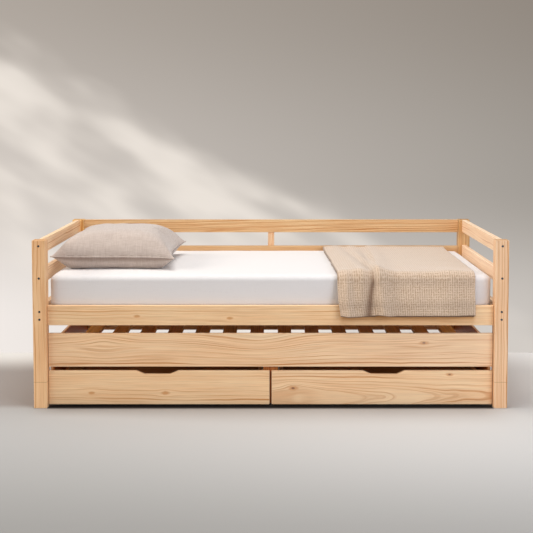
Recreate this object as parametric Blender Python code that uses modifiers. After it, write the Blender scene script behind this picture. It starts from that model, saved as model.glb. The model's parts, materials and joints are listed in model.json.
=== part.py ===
"""A pine storage daybed: a slatted bed with end and back rails, a pull-out trundle bed under it, and two
drawers under the trundle. Metres, +Z up, +X along the bed, -Y is the front. The origin is on the floor under
the middle of the frame."""

import math

import bmesh
import bpy
from mathutils import Matrix, Vector

# Fits that several pieces share
FIT_GAP = 0.0003  # between faces that touch
OVERRUN = 0.002  # how far a cutter runs past what it cuts
MERGE_DISTANCE = 0.00001

# Mattress, which sizes the frame round it
MATTRESS_LENGTH = 2.000
MATTRESS_WIDTH = 0.900
MATTRESS_THICKNESS = 0.157
MATTRESS_ROUNDING = 0.028
MATTRESS_CORNER_RADIUS = 0.016
MATTRESS_FACETS = 4  # of each rounding
MATTRESS_END_CLEARANCE = 0.005
MATTRESS_SIDE_CLEARANCE = 0.003

# Cushion
PILLOW_LENGTH = 0.578
PILLOW_DEPTH = 0.603
PILLOW_SEAM_HEIGHT = 0.058
PILLOW_CROWN = 0.114
PILLOW_BELLY = 0.092
PILLOW_CORNER_LIFT = 0.006
PILLOW_DRAW_IN = 0.022
PILLOW_END_CLEARANCE = 0.001
PILLOW_FRONT_MARGIN = 0.133

# Throw, folded double, laid across the mattress and hanging over its front
THROW_WIDTH = 0.605
THROW_THICKNESS = 0.010
THROW_GAP = 0.0008
THROW_RIGHT_MARGIN = 0.082
THROW_BACK_MARGIN = 0.006
THROW_BACK_SPREAD = 0.038  # how much wider its back edge is than its gathered front
THROW_HANG = 0.045  # below the top of the front rail
THROW_FOLD_DEPTH = 0.012
THROW_WRINKLE_HEIGHT = 0.006

# Posts and rails
POST_WIDTH = 0.060
POST_EDGE = 0.003
RAIL_THICKNESS = 0.024
RAIL_SETBACK = 0.028  # of the long rails' outer faces behind the posts' faces
RAIL_EDGE = 0.003
SIDE_RAIL_HEIGHT = 0.090
GUARD_RAIL_HEIGHT = 0.065
TOP_RAIL_HEIGHT = 0.065
BACK_TOP_RAIL_HEIGHT = 0.068
BACK_GUARD_DROP = 0.006  # of the back guard rail below the end ones
GUARD_RAIL_GAP = 0.098  # above the side rail
TOP_RAIL_GAP = 0.070  # above the guard rail
BATTEN_WIDTH = 0.034
BATTEN_THICKNESS = 0.018
BATTEN_TOP_DROP = 0.012
HIDDEN_EDGE = 0.0015

# Slat mats
SLAT_COUNT = 14
SLAT_WIDTH = 0.065
SLAT_THICKNESS = 0.018
SLAT_END_MARGIN = 0.083  # from a mat's last slat to the posts or end boards
TAPE_WIDTH = 0.025
TAPE_THICKNESS = 0.0015
TAPE_BITE = 0.0005  # how far a tape is pressed into the slats
TAPE_INSET = 0.200  # from a slat's end to the middle of a tape
SLAT_SIDE_CLEARANCE = 0.002
LEDGE_HEIGHT = 0.030
LEDGE_THICKNESS = 0.022
BED_LEDGE_RISE = 0.0207  # above the side rail's lower edge

# Bolts through the front posts
BOLT_HEAD_RADIUS = 0.005
BOLT_HEAD_HEIGHT = 0.006
BOLT_HEAD_EDGE = 0.0006
BOLT_RADIUS = 0.003
BOLT_LENGTH = 0.100
BOLT_SINK = 0.0004  # of the head below the post's face
BOLT_CLEARANCE = 0.0003
BOLT_SOCKET_RADIUS = 0.0029
BOLT_SOCKET_DEPTH = 0.003
BOLT_PILOT_SPARE = 0.002
TOP_BOLT_DROP = 0.026  # below the top of the posts
GUARD_BOLT_RISE = 0.029  # above the guard rail's lower edge
LOWER_BOLT_RISE = 0.031  # above the side rail's lower edge
LOWER_BOLT_PITCH = 0.035

# Trundle
TRUNDLE_DEPTH = 0.900
TRUNDLE_SIDE_CLEARANCE = 0.002
TRUNDLE_TOP_GAP = 0.0367  # under the side rail
TRUNDLE_PANEL_HEIGHT = 0.152
TRUNDLE_PANEL_THICKNESS = 0.020
TRUNDLE_BACK_THICKNESS = 0.018
TRUNDLE_BACK_HEIGHT = 0.116
TRUNDLE_END_THICKNESS = 0.0165
TRUNDLE_END_INSET = 0.007  # of the end boards behind the front panel's ends
TRUNDLE_END_DROP = 0.047  # of the end boards' top below the front panel's top
TRUNDLE_SLAT_DROP = 0.065  # of the slats' top below the front panel's top
CENTRE_LEG_WIDTH = 0.067
CENTRE_LEG_THICKNESS = 0.020
BOARD_FLOOR_CLEARANCE = 0.012

# Drawers
DRAWER_FLOOR_CLEARANCE = 0.0103
DRAWER_FRONT_HEIGHT = 0.155
DRAWER_FRONT_THICKNESS = 0.018
DRAWER_TOP_SLOT = 0.018  # between a drawer's front and the trundle's panel
DRAWER_MIDDLE_GAP = 0.009
DRAWER_BOX_DEPTH = 0.680
DRAWER_BOX_DROP = 0.026  # of the box's top edge below the front's
DRAWER_BOARD_THICKNESS = 0.015
DRAWER_LEG_CLEARANCE = 0.010
DRAWER_WHEEL_CLEARANCE = 0.006  # beside the trundle's wheels
DRAWER_BOTTOM_THICKNESS = 0.006
DRAWER_BOTTOM_BITE = 0.006  # of the bottom into the boards' grooves
DRAWER_BOTTOM_CLEARANCE = 0.004  # above the wheels
PULL_TOP_WIDTH = 0.192
PULL_BOTTOM_WIDTH = 0.116
PULL_DEPTH = 0.016
PULL_OFFSET = 0.008  # of its middle from the front's, away from the bed's middle
PULL_ROUNDING = 0.010
PULL_FACETS = 4

# Wheels, each one turned piece with its stub axle
TRUNDLE_WHEEL_RADIUS = 0.025
TRUNDLE_WHEEL_WIDTH = 0.016
DRAWER_WHEEL_RADIUS = 0.020
DRAWER_WHEEL_WIDTH = 0.014
WHEEL_BOSS_RADIUS = 0.008
WHEEL_BOSS_HEIGHT = 0.0015
WHEEL_RIM = 0.004
WHEEL_DISH = 0.003
WHEEL_EDGE = 0.0015
AXLE_RADIUS = 0.004
AXLE_DEPTH = 0.011
AXLE_CLEARANCE = 0.0003
WHEEL_FRONT_MARGIN = 0.090  # from a unit's front to its front axle
WHEEL_BACK_MARGIN = 0.080
WHEEL_FACETS = 16
BOLT_FACETS = 12

# Places along the bed
POST_INNER_X = MATTRESS_LENGTH / 2 + MATTRESS_END_CLEARANCE
POST_OUTER_X = POST_INNER_X + POST_WIDTH
END_RAIL_X = (POST_INNER_X + POST_OUTER_X) / 2

# Places from front to back
BED_DEPTH = MATTRESS_WIDTH + 2 * (MATTRESS_SIDE_CLEARANCE + RAIL_THICKNESS + RAIL_SETBACK)
FRONT_Y = -BED_DEPTH / 2
BACK_Y = BED_DEPTH / 2
RAIL_FACE_Y = FRONT_Y + RAIL_SETBACK
RAIL_INNER_Y = RAIL_FACE_Y + RAIL_THICKNESS
MATTRESS_FRONT_Y = -MATTRESS_WIDTH / 2

# Heights, from the floor up
DRAWER_TOP_Z = DRAWER_FLOOR_CLEARANCE + DRAWER_FRONT_HEIGHT
PANEL_BOTTOM_Z = DRAWER_TOP_Z + DRAWER_TOP_SLOT
PANEL_TOP_Z = PANEL_BOTTOM_Z + TRUNDLE_PANEL_HEIGHT
SIDE_RAIL_Z = PANEL_TOP_Z + TRUNDLE_TOP_GAP
SIDE_RAIL_TOP_Z = SIDE_RAIL_Z + SIDE_RAIL_HEIGHT
GUARD_RAIL_Z = SIDE_RAIL_TOP_Z + GUARD_RAIL_GAP
GUARD_RAIL_TOP_Z = GUARD_RAIL_Z + GUARD_RAIL_HEIGHT
TOP_RAIL_Z = GUARD_RAIL_TOP_Z + TOP_RAIL_GAP
BED_HEIGHT = TOP_RAIL_Z + TOP_RAIL_HEIGHT
BED_SLAT_Z = SIDE_RAIL_Z + BED_LEDGE_RISE + LEDGE_HEIGHT + FIT_GAP
MATTRESS_Z = BED_SLAT_Z + SLAT_THICKNESS + FIT_GAP
MATTRESS_TOP_Z = MATTRESS_Z + MATTRESS_THICKNESS

# The trundle and what it carries
PANEL_HALF_LENGTH = POST_INNER_X - TRUNDLE_SIDE_CLEARANCE
PANEL_BACK_Y = RAIL_FACE_Y + TRUNDLE_PANEL_THICKNESS
TRUNDLE_BACK_Y = RAIL_FACE_Y + TRUNDLE_DEPTH
TRUNDLE_BACK_FACE_Y = TRUNDLE_BACK_Y - TRUNDLE_BACK_THICKNESS
END_OUTER_X = PANEL_HALF_LENGTH - TRUNDLE_END_INSET
END_INNER_X = END_OUTER_X - TRUNDLE_END_THICKNESS
END_TOP_Z = PANEL_TOP_Z - TRUNDLE_END_DROP
TRUNDLE_SLAT_Z = PANEL_TOP_Z - TRUNDLE_SLAT_DROP - SLAT_THICKNESS
TRUNDLE_LEDGE_TOP_Z = TRUNDLE_SLAT_Z - FIT_GAP
TRUNDLE_LEDGE_Z = TRUNDLE_LEDGE_TOP_Z - LEDGE_HEIGHT

# The drawers' boxes
WHEEL_STAND_OFF = FIT_GAP + WHEEL_BOSS_HEIGHT + TRUNDLE_WHEEL_WIDTH
BOX_OUTER_X = END_INNER_X - WHEEL_STAND_OFF - DRAWER_WHEEL_CLEARANCE
BOX_INNER_X = CENTRE_LEG_WIDTH / 2 + DRAWER_LEG_CLEARANCE
BOX_FRONT_Y = RAIL_FACE_Y + DRAWER_FRONT_THICKNESS + FIT_GAP
BOX_BACK_Y = BOX_FRONT_Y + DRAWER_BOX_DEPTH
BOX_TOP_Z = DRAWER_TOP_Z - DRAWER_BOX_DROP
DRAWER_BOTTOM_Z = 2 * DRAWER_WHEEL_RADIUS + DRAWER_BOTTOM_CLEARANCE

SMOOTH_ANGLE = math.radians(40)
LEFT = -1
RIGHT = 1
SIDE_NAMES = {LEFT: "left", RIGHT: "right"}


def clear_scene():
    for thing in list(bpy.data.objects):
        bpy.data.objects.remove(thing, do_unlink=True)


def new_collection(name, hidden=False):
    made = bpy.data.collections.new(name)
    made.hide_render = hidden
    bpy.context.scene.collection.children.link(made)
    return made


def new_material(name, colour, roughness, metallic=0.0):
    made = bpy.data.materials.new(name)
    made.use_nodes = True
    shader = made.node_tree.nodes["Principled BSDF"]
    shader.inputs["Base Color"].default_value = (*colour, 1.0)
    shader.inputs["Roughness"].default_value = roughness
    shader.inputs["Metallic"].default_value = metallic
    made.diffuse_color = (*colour, 1.0)
    return made


clear_scene()
PARTS = new_collection("storage_daybed")
CUTTERS = new_collection("cutters", hidden=True)

PINE = new_material("pine", (0.64, 0.40, 0.21), 0.48)
SLAT_PINE = new_material("slat_pine", (0.58, 0.37, 0.20), 0.55)
BOARD = new_material("drawer_board", (0.66, 0.50, 0.33), 0.60)
MATTRESS_COVER = new_material("mattress_cover", (0.86, 0.85, 0.84), 0.90)
LINEN = new_material("pillow_linen", (0.50, 0.42, 0.35), 0.92)
THROW_CLOTH = new_material("throw_cloth", (0.53, 0.42, 0.33), 0.94)
STEEL = new_material("bolt_steel", (0.22, 0.23, 0.26), 0.38, 1.0)
WHEEL_PLASTIC = new_material("wheel_plastic", (0.05, 0.05, 0.05), 0.50)


def add_object(name, mesh, location, collection, material=None):
    made = bpy.data.objects.new(name, mesh)
    made.location = location
    collection.objects.link(made)
    if material:
        mesh.materials.append(material)
    if collection is CUTTERS:
        made.hide_render = True
        made.display_type = "WIRE"
    return made


def add_mesh(name, shape, location, collection, material=None):
    mesh = bpy.data.meshes.new(name)
    shape.to_mesh(mesh)
    shape.free()
    return add_object(name, mesh, location, collection, material)


def block_mesh(size):
    shape = bmesh.new()
    bmesh.ops.create_cube(shape, size=1)
    bmesh.ops.scale(shape, vec=size, verts=shape.verts)
    return shape


def add_block(name, low, high, collection, material=None):
    low, high = Vector(low), Vector(high)
    return add_mesh(name, block_mesh(high - low), (low + high) / 2, collection, material)


def round_edges(thing, width, segments=2):
    bevel = thing.modifiers.new("rounded_edges", "BEVEL")
    bevel.width = width
    bevel.segments = segments
    bevel.limit_method = "ANGLE"


def add_board(name, low, high, material=PINE, edge=RAIL_EDGE, segments=2):
    """A straight board with rounded edges, from its lowest corner to its highest."""
    board = add_block(name, low, high, PARTS, material)
    round_edges(board, edge, segments)
    return board


def add_hidden_board(name, low, high, material=PINE):
    return add_board(name, low, high, material, HIDDEN_EDGE, 1)


def combine(thing, other, operation):
    boolean = thing.modifiers.new(operation.lower(), "BOOLEAN")
    boolean.object = other
    boolean.operation = operation
    boolean.solver = "EXACT"


def cut_block(thing, low, high):
    combine(thing, add_block(thing.name + "_cut", low, high, CUTTERS), "DIFFERENCE")


def cut_hole(thing, start, end, radius, facets):
    """A round hole from start to end, which differ along X or Y only."""
    start, end = Vector(start), Vector(end)
    shape = bmesh.new()
    bmesh.ops.create_cone(
        shape,
        cap_ends=True,
        segments=facets,
        radius1=radius,
        radius2=radius,
        depth=(end - start).length,
    )
    cutter = add_mesh(thing.name + "_hole", shape, (start + end) / 2, CUTTERS)
    cutter.rotation_euler = (end - start).to_track_quat("Z", "Y").to_euler()
    combine(thing, cutter, "DIFFERENCE")


def turned_mesh(name, profile):
    """The open outline of a turned piece as (radius, height) points, from its top down its outer side."""
    mesh = bpy.data.meshes.new(name)
    points = [(radius, 0, height) for radius, height in profile]
    mesh.from_pydata(points, [(i, i + 1) for i in range(len(points) - 1)], [])
    return mesh


def turn(thing, facets):
    screw = thing.modifiers.new("turned", "SCREW")
    screw.steps = facets
    screw.render_steps = facets
    screw.use_merge_vertices = True
    screw.merge_threshold = MERGE_DISTANCE


def add_handle_empty(name, location, parent=None):
    """The empty that a sliding unit's pieces hang from."""
    empty = bpy.data.objects.new(name, None)
    empty.location = location
    empty.empty_display_size = POST_WIDTH
    PARTS.objects.link(empty)
    if parent:
        ride(empty, parent)
    return empty


def ride(thing, empty):
    """Parents thing to an unturned empty and leaves it where it is in the world."""
    bpy.context.view_layer.update()
    thing.parent = empty
    thing.matrix_parent_inverse = empty.matrix_world.inverted()


def bolt_heights():
    return (
        BED_HEIGHT - TOP_BOLT_DROP,
        GUARD_RAIL_Z + GUARD_BOLT_RISE,
        SIDE_RAIL_Z + LOWER_BOLT_RISE + LOWER_BOLT_PITCH,
        SIDE_RAIL_Z + LOWER_BOLT_RISE,
    )


def drill_post(post, side):
    """Counterbores and through holes for the bolts, on the post's front."""
    for height in bolt_heights():
        seat = FRONT_Y + BOLT_SINK + BOLT_HEAD_HEIGHT + BOLT_CLEARANCE
        mouth = (side * END_RAIL_X, FRONT_Y - OVERRUN, height)
        head_radius = BOLT_HEAD_RADIUS + BOLT_CLEARANCE
        cut_hole(post, mouth, (side * END_RAIL_X, seat, height), head_radius, BOLT_FACETS)
        back = (side * END_RAIL_X, FRONT_Y + POST_WIDTH + OVERRUN, height)
        cut_hole(post, mouth, back, BOLT_RADIUS + BOLT_CLEARANCE, BOLT_FACETS)


def make_posts():
    for side, side_name in SIDE_NAMES.items():
        near, far = sorted((side * POST_INNER_X, side * POST_OUTER_X))
        front = add_board(
            f"post_front_{side_name}",
            (near, FRONT_Y, 0),
            (far, FRONT_Y + POST_WIDTH, BED_HEIGHT),
            edge=POST_EDGE,
        )
        drill_post(front, side)
        add_board(
            f"post_back_{side_name}",
            (near, BACK_Y - POST_WIDTH, 0),
            (far, BACK_Y, BED_HEIGHT),
            edge=POST_EDGE,
        )


def drill_rail_end(rail, side, heights):
    """Pilot holes for the bolts in an end rail's front end."""
    start = FRONT_Y + POST_WIDTH - OVERRUN
    end = FRONT_Y + BOLT_SINK + BOLT_HEAD_HEIGHT + BOLT_LENGTH + BOLT_PILOT_SPARE
    for height in heights:
        cut_hole(
            rail,
            (side * END_RAIL_X, start, height),
            (side * END_RAIL_X, end, height),
            BOLT_RADIUS + BOLT_CLEARANCE,
            BOLT_FACETS,
        )


def make_end_rails():
    top, guard, upper, lower = bolt_heights()
    levels = {
        "top": (TOP_RAIL_Z, TOP_RAIL_HEIGHT, (top,)),
        "guard": (GUARD_RAIL_Z, GUARD_RAIL_HEIGHT, (guard,)),
        "lower": (SIDE_RAIL_Z, SIDE_RAIL_HEIGHT, (upper, lower)),
    }
    reach = BED_DEPTH / 2 - POST_WIDTH - FIT_GAP
    for side, side_name in SIDE_NAMES.items():
        middle = side * END_RAIL_X
        for level, (bottom, height, heights) in levels.items():
            rail = add_board(
                f"end_{level}_rail_{side_name}",
                (middle - RAIL_THICKNESS / 2, -reach, bottom),
                (middle + RAIL_THICKNESS / 2, reach, bottom + height),
            )
            drill_rail_end(rail, side, heights)


def make_long_rails():
    """The side rails, and the two rails and the batten of the back."""
    reach = POST_INNER_X - FIT_GAP
    rows = {
        "side_rail_front": (RAIL_FACE_Y, SIDE_RAIL_Z, SIDE_RAIL_HEIGHT),
        "side_rail_back": (-RAIL_INNER_Y, SIDE_RAIL_Z, SIDE_RAIL_HEIGHT),
        "back_guard_rail": (-RAIL_INNER_Y, GUARD_RAIL_Z - BACK_GUARD_DROP, GUARD_RAIL_HEIGHT),
        "back_top_rail": (-RAIL_INNER_Y, BED_HEIGHT - BACK_TOP_RAIL_HEIGHT, BACK_TOP_RAIL_HEIGHT),
    }
    for name, (near, bottom, height) in rows.items():
        add_board(name, (-reach, near, bottom), (reach, near + RAIL_THICKNESS, bottom + height))
    batten_y = -RAIL_FACE_Y + FIT_GAP
    add_board(
        "back_batten",
        (-BATTEN_WIDTH / 2, batten_y, SIDE_RAIL_Z),
        (BATTEN_WIDTH / 2, batten_y + BATTEN_THICKNESS, BED_HEIGHT - BATTEN_TOP_DROP),
    )


def make_bed_ledges():
    reach = POST_INNER_X - FIT_GAP - SLAT_END_MARGIN / 2
    bottom = SIDE_RAIL_Z + BED_LEDGE_RISE
    for name, side in (("front", LEFT), ("back", RIGHT)):
        outer = side * (-RAIL_INNER_Y - FIT_GAP)
        near, far = sorted((outer, outer - side * LEDGE_THICKNESS))
        add_hidden_board(
            f"slat_ledge_{name}", (-reach, near, bottom), (reach, far, bottom + LEDGE_HEIGHT)
        )


def add_slat_mat(name, half_length, front, back, bottom):
    """Slats from front to back, on two tapes that hold them in a row, within half_length of the middle."""
    first = half_length - SLAT_END_MARGIN - SLAT_WIDTH / 2
    pitch = 2 * first / (SLAT_COUNT - 1)
    slats = bmesh.new()
    for i in range(SLAT_COUNT):
        place = Vector((i * pitch - first, (front + back) / 2, bottom + SLAT_THICKNESS / 2))
        size = Vector((SLAT_WIDTH, back - front, SLAT_THICKNESS))
        bmesh.ops.create_cube(
            slats, size=1, matrix=Matrix.Translation(place) @ Matrix.Diagonal((*size, 1))
        )
    tapes = bmesh.new()
    tape_size = Vector((2 * first + SLAT_WIDTH / 2, TAPE_WIDTH, TAPE_THICKNESS))
    for place_y in (front + TAPE_INSET, back - TAPE_INSET):
        place = Vector((0, place_y, bottom + TAPE_BITE - TAPE_THICKNESS / 2))
        bmesh.ops.create_cube(
            tapes, size=1, matrix=Matrix.Translation(place) @ Matrix.Diagonal((*tape_size, 1))
        )
    slat_object = add_mesh(name + "_slats", slats, (0, 0, 0), CUTTERS)
    mat = add_mesh(name, tapes, (0, 0, 0), PARTS, SLAT_PINE)
    combine(mat, slat_object, "UNION")
    return mat


def make_bed_slats():
    inner = -RAIL_INNER_Y - SLAT_SIDE_CLEARANCE
    add_slat_mat("bed_slats", POST_INNER_X, -inner, inner, BED_SLAT_Z)


def rounded_outline(half_length, half_width, radius, facets):
    """A rectangle's outline with rounded corners, counterclockwise from its right side."""
    points = []
    for i, (x_side, y_side) in enumerate(((1, 1), (-1, 1), (-1, -1), (1, -1))):
        for j in range(facets + 1):
            angle = math.pi / 2 * (i + j / facets)
            x = x_side * (half_length - radius) + radius * math.cos(angle)
            y = y_side * (half_width - radius) + radius * math.sin(angle)
            points.append((x, y))
    return points


def make_mattress():
    levels = []
    for i in range(MATTRESS_FACETS + 1):
        angle = math.pi / 2 * i / MATTRESS_FACETS
        levels.append((MATTRESS_ROUNDING * (1 - math.cos(angle)), MATTRESS_ROUNDING * (1 - math.sin(angle))))
    levels += [(MATTRESS_THICKNESS - height, inset) for height, inset in reversed(levels)]
    shape = bmesh.new()
    rings = []
    for height, inset in levels:
        outline = rounded_outline(
            MATTRESS_LENGTH / 2 - inset,
            MATTRESS_WIDTH / 2 - inset,
            MATTRESS_CORNER_RADIUS,
            MATTRESS_FACETS,
        )
        rings.append([shape.verts.new((x, y, MATTRESS_Z + height)) for x, y in outline])
    for lower, upper in zip(rings, rings[1:]):
        for i, corner in enumerate(lower):
            shape.faces.new((lower[i - 1], corner, upper[i], upper[i - 1]))
    shape.faces.new(list(reversed(rings[0])))
    shape.faces.new(rings[-1])
    mattress = add_mesh("mattress", shape, (0, 0, 0), PARTS, MATTRESS_COVER)
    mattress.data.shade_smooth()
    mattress.data.set_sharp_from_angle(angle=SMOOTH_ANGLE)


def grid_mesh(across, along):
    """A flat grid whose corners are at -1 and 1."""
    shape = bmesh.new()
    bmesh.ops.create_grid(shape, x_segments=across, y_segments=along, size=1)
    return shape


def make_pillow():
    """A cushion with a knife-edge seam, drawn in between its corners and flat where it lies."""
    centre_x = -END_RAIL_X + RAIL_THICKNESS / 2 + PILLOW_END_CLEARANCE + PILLOW_LENGTH / 2
    centre_y = MATTRESS_FRONT_Y + PILLOW_FRONT_MARGIN + PILLOW_DEPTH / 2
    shape = bmesh.new()
    for face_height in (PILLOW_CROWN, -PILLOW_BELLY):
        side = grid_mesh(18, 18)
        for vertex in side.verts:
            u, v = vertex.co.x, vertex.co.y
            fullness = ((1 - u**4) * (1 - v**4)) ** 0.62 if max(abs(u), abs(v)) < 1 else 0
            x = centre_x + u * (PILLOW_LENGTH / 2 - PILLOW_DRAW_IN * (1 - v**2))
            y = centre_y + v * (PILLOW_DEPTH / 2 - PILLOW_DRAW_IN * (1 - u**2))
            seam = MATTRESS_TOP_Z + PILLOW_SEAM_HEIGHT + PILLOW_CORNER_LIFT * abs(u * v) ** 3
            z = seam + face_height * fullness
            vertex.co = (x, y, max(z, MATTRESS_TOP_Z + FIT_GAP))
        if face_height < 0:
            bmesh.ops.reverse_faces(side, faces=side.faces)
        half = bpy.data.meshes.new("pillow_half")
        side.to_mesh(half)
        side.free()
        shape.from_mesh(half)
        bpy.data.meshes.remove(half)
    bmesh.ops.remove_doubles(shape, verts=shape.verts, dist=MERGE_DISTANCE)
    pillow = add_mesh("pillow", shape, (0, 0, 0), PARTS, LINEN)
    pillow.data.shade_smooth()
    pillow.data.set_sharp_from_angle(angle=SMOOTH_ANGLE)


def smooth_step(share):
    share = min(max(share, 0), 1)
    return share * share * (3 - 2 * share)


def throw_path(share):
    """The throw's underside from its back edge (0) to its front edge (1): y, z and how far it hangs, which
    is 0 on top and 1 at the front edge."""
    top_share, bend_share = 0.50, 0.20
    back = MATTRESS_WIDTH / 2 - THROW_BACK_MARGIN
    bend_y = MATTRESS_FRONT_Y + MATTRESS_ROUNDING
    start_z = MATTRESS_TOP_Z - MATTRESS_ROUNDING
    radius = MATTRESS_ROUNDING + THROW_GAP
    if share <= top_share:
        return back + (bend_y - back) * share / top_share, start_z + radius, 0
    if share <= top_share + bend_share:
        angle = math.pi / 2 * (share - top_share) / bend_share
        return bend_y - radius * math.sin(angle), start_z + radius * math.cos(angle), 0
    down = (share - top_share - bend_share) / (1 - top_share - bend_share)
    end_z = SIDE_RAIL_TOP_Z - THROW_HANG
    z = start_z + (end_z - start_z) * down
    outward = smooth_step((start_z - z) / (start_z - SIDE_RAIL_TOP_Z - RAIL_EDGE))
    y = bend_y - radius
    return y + (RAIL_FACE_Y - THROW_GAP - y) * outward, z, down


def throw_fold(u):
    """How far the cloth stands out in its folds, from 0 to 1. u runs from its left edge to its right."""
    # Each ridge's place, width and height
    ridge_shares = ((-0.80, 0.17, 0.75), (-0.38, 0.10, 0.95), (0.05, 0.22, 0.40), (0.62, 0.20, 0.45))
    ridges = (height * math.exp(-(((u - place) / width) ** 2)) for place, width, height in ridge_shares)
    return sum(ridges)


def make_throw():
    right = POST_INNER_X - THROW_RIGHT_MARGIN
    shape = grid_mesh(18, 24)
    for vertex in shape.verts:
        u, share = vertex.co.x, (1 - vertex.co.y) / 2
        y, z, hang = throw_path(share)
        spread = THROW_BACK_SPREAD * max(0, (y - MATTRESS_FRONT_Y) / MATTRESS_WIDTH)
        x = right - (THROW_WIDTH + spread) * (1 - u) / 2
        fold = throw_fold(u)
        on_top = 1 - smooth_step(share / 0.5)
        z += THROW_WRINKLE_HEIGHT * fold * (0.35 + 0.65 * on_top) * (1 - smooth_step(hang / 0.2))
        y -= THROW_FOLD_DEPTH * fold * smooth_step(hang * 1.6)
        vertex.co = (x, y, z)
    bmesh.ops.recalc_face_normals(shape, faces=shape.faces)
    if sum(face.normal.z for face in shape.faces) < 0:
        bmesh.ops.reverse_faces(shape, faces=shape.faces)
    throw = add_mesh("throw", shape, (0, 0, 0), PARTS, THROW_CLOTH)
    throw.data.shade_smooth()
    cloth = throw.modifiers.new("thickness", "SOLIDIFY")
    cloth.thickness = THROW_THICKNESS
    cloth.offset = 1


def bolt_mesh():
    """A socket-head bolt along Z, its head's top at 0 and its shank below."""
    shank_end = -BOLT_HEAD_HEIGHT - BOLT_LENGTH
    return turned_mesh(
        "bolt",
        (
            (0, 0),
            (BOLT_HEAD_RADIUS - BOLT_HEAD_EDGE, 0),
            (BOLT_HEAD_RADIUS, -BOLT_HEAD_EDGE),
            (BOLT_HEAD_RADIUS, -BOLT_HEAD_HEIGHT),
            (BOLT_RADIUS, -BOLT_HEAD_HEIGHT),
            (BOLT_RADIUS, shank_end + BOLT_HEAD_EDGE),
            (BOLT_RADIUS - BOLT_HEAD_EDGE, shank_end),
            (0, shank_end),
        ),
    )


def make_bolts():
    mesh = bolt_mesh()
    mesh.materials.append(STEEL)
    for side, side_name in SIDE_NAMES.items():
        for number, height in enumerate(bolt_heights(), 1):
            face = (side * END_RAIL_X, FRONT_Y + BOLT_SINK, height)
            bolt = add_object(f"bolt_{side_name}_{number}", mesh, face, PARTS)
            bolt.rotation_euler = (math.pi / 2, 0, 0)
            turn(bolt, BOLT_FACETS)
            socket = bmesh.new()
            bmesh.ops.create_cone(
                socket,
                cap_ends=True,
                segments=6,
                radius1=BOLT_SOCKET_RADIUS,
                radius2=BOLT_SOCKET_RADIUS,
                depth=2 * BOLT_SOCKET_DEPTH,
            )
            cutter = add_mesh(bolt.name + "_socket", socket, face, CUTTERS)
            cutter.rotation_euler = bolt.rotation_euler
            combine(bolt, cutter, "DIFFERENCE")


def wheel_mesh(radius, width):
    """A wheel along Z with its stub axle. Height 0 is the face of the board that the axle goes into."""
    inner = FIT_GAP + WHEEL_BOSS_HEIGHT
    outer = inner + width
    dish = outer - WHEEL_DISH
    return turned_mesh(
        "wheel",
        (
            (0, outer - WHEEL_EDGE),
            (WHEEL_BOSS_RADIUS - WHEEL_EDGE, outer - WHEEL_EDGE),
            (WHEEL_BOSS_RADIUS, dish),
            (radius - WHEEL_RIM, dish),
            (radius - WHEEL_RIM, outer),
            (radius - WHEEL_EDGE, outer),
            (radius, outer - WHEEL_EDGE),
            (radius, inner),
            (WHEEL_BOSS_RADIUS, inner),
            (WHEEL_BOSS_RADIUS, FIT_GAP),
            (AXLE_RADIUS, FIT_GAP),
            (AXLE_RADIUS, -AXLE_DEPTH),
            (0, -AXLE_DEPTH),
        ),
    )


def add_wheel(name, mesh, board, inner_face, side, y, radius, empty):
    """A wheel on a board's inner face, and the bore for its axle. side is the side that the board is on."""
    axle = (inner_face, y, radius)
    wheel = add_object(name, mesh, axle, PARTS)
    wheel.rotation_euler = (0, -side * math.pi / 2, 0)
    turn(wheel, WHEEL_FACETS)
    bore_end = inner_face + side * (AXLE_DEPTH + AXLE_CLEARANCE)
    bore_start = inner_face - side * OVERRUN
    cut_hole(
        board,
        (bore_start, y, radius),
        (bore_end, y, radius),
        AXLE_RADIUS + AXLE_CLEARANCE,
        WHEEL_FACETS,
    )
    ride(wheel, empty)


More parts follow.
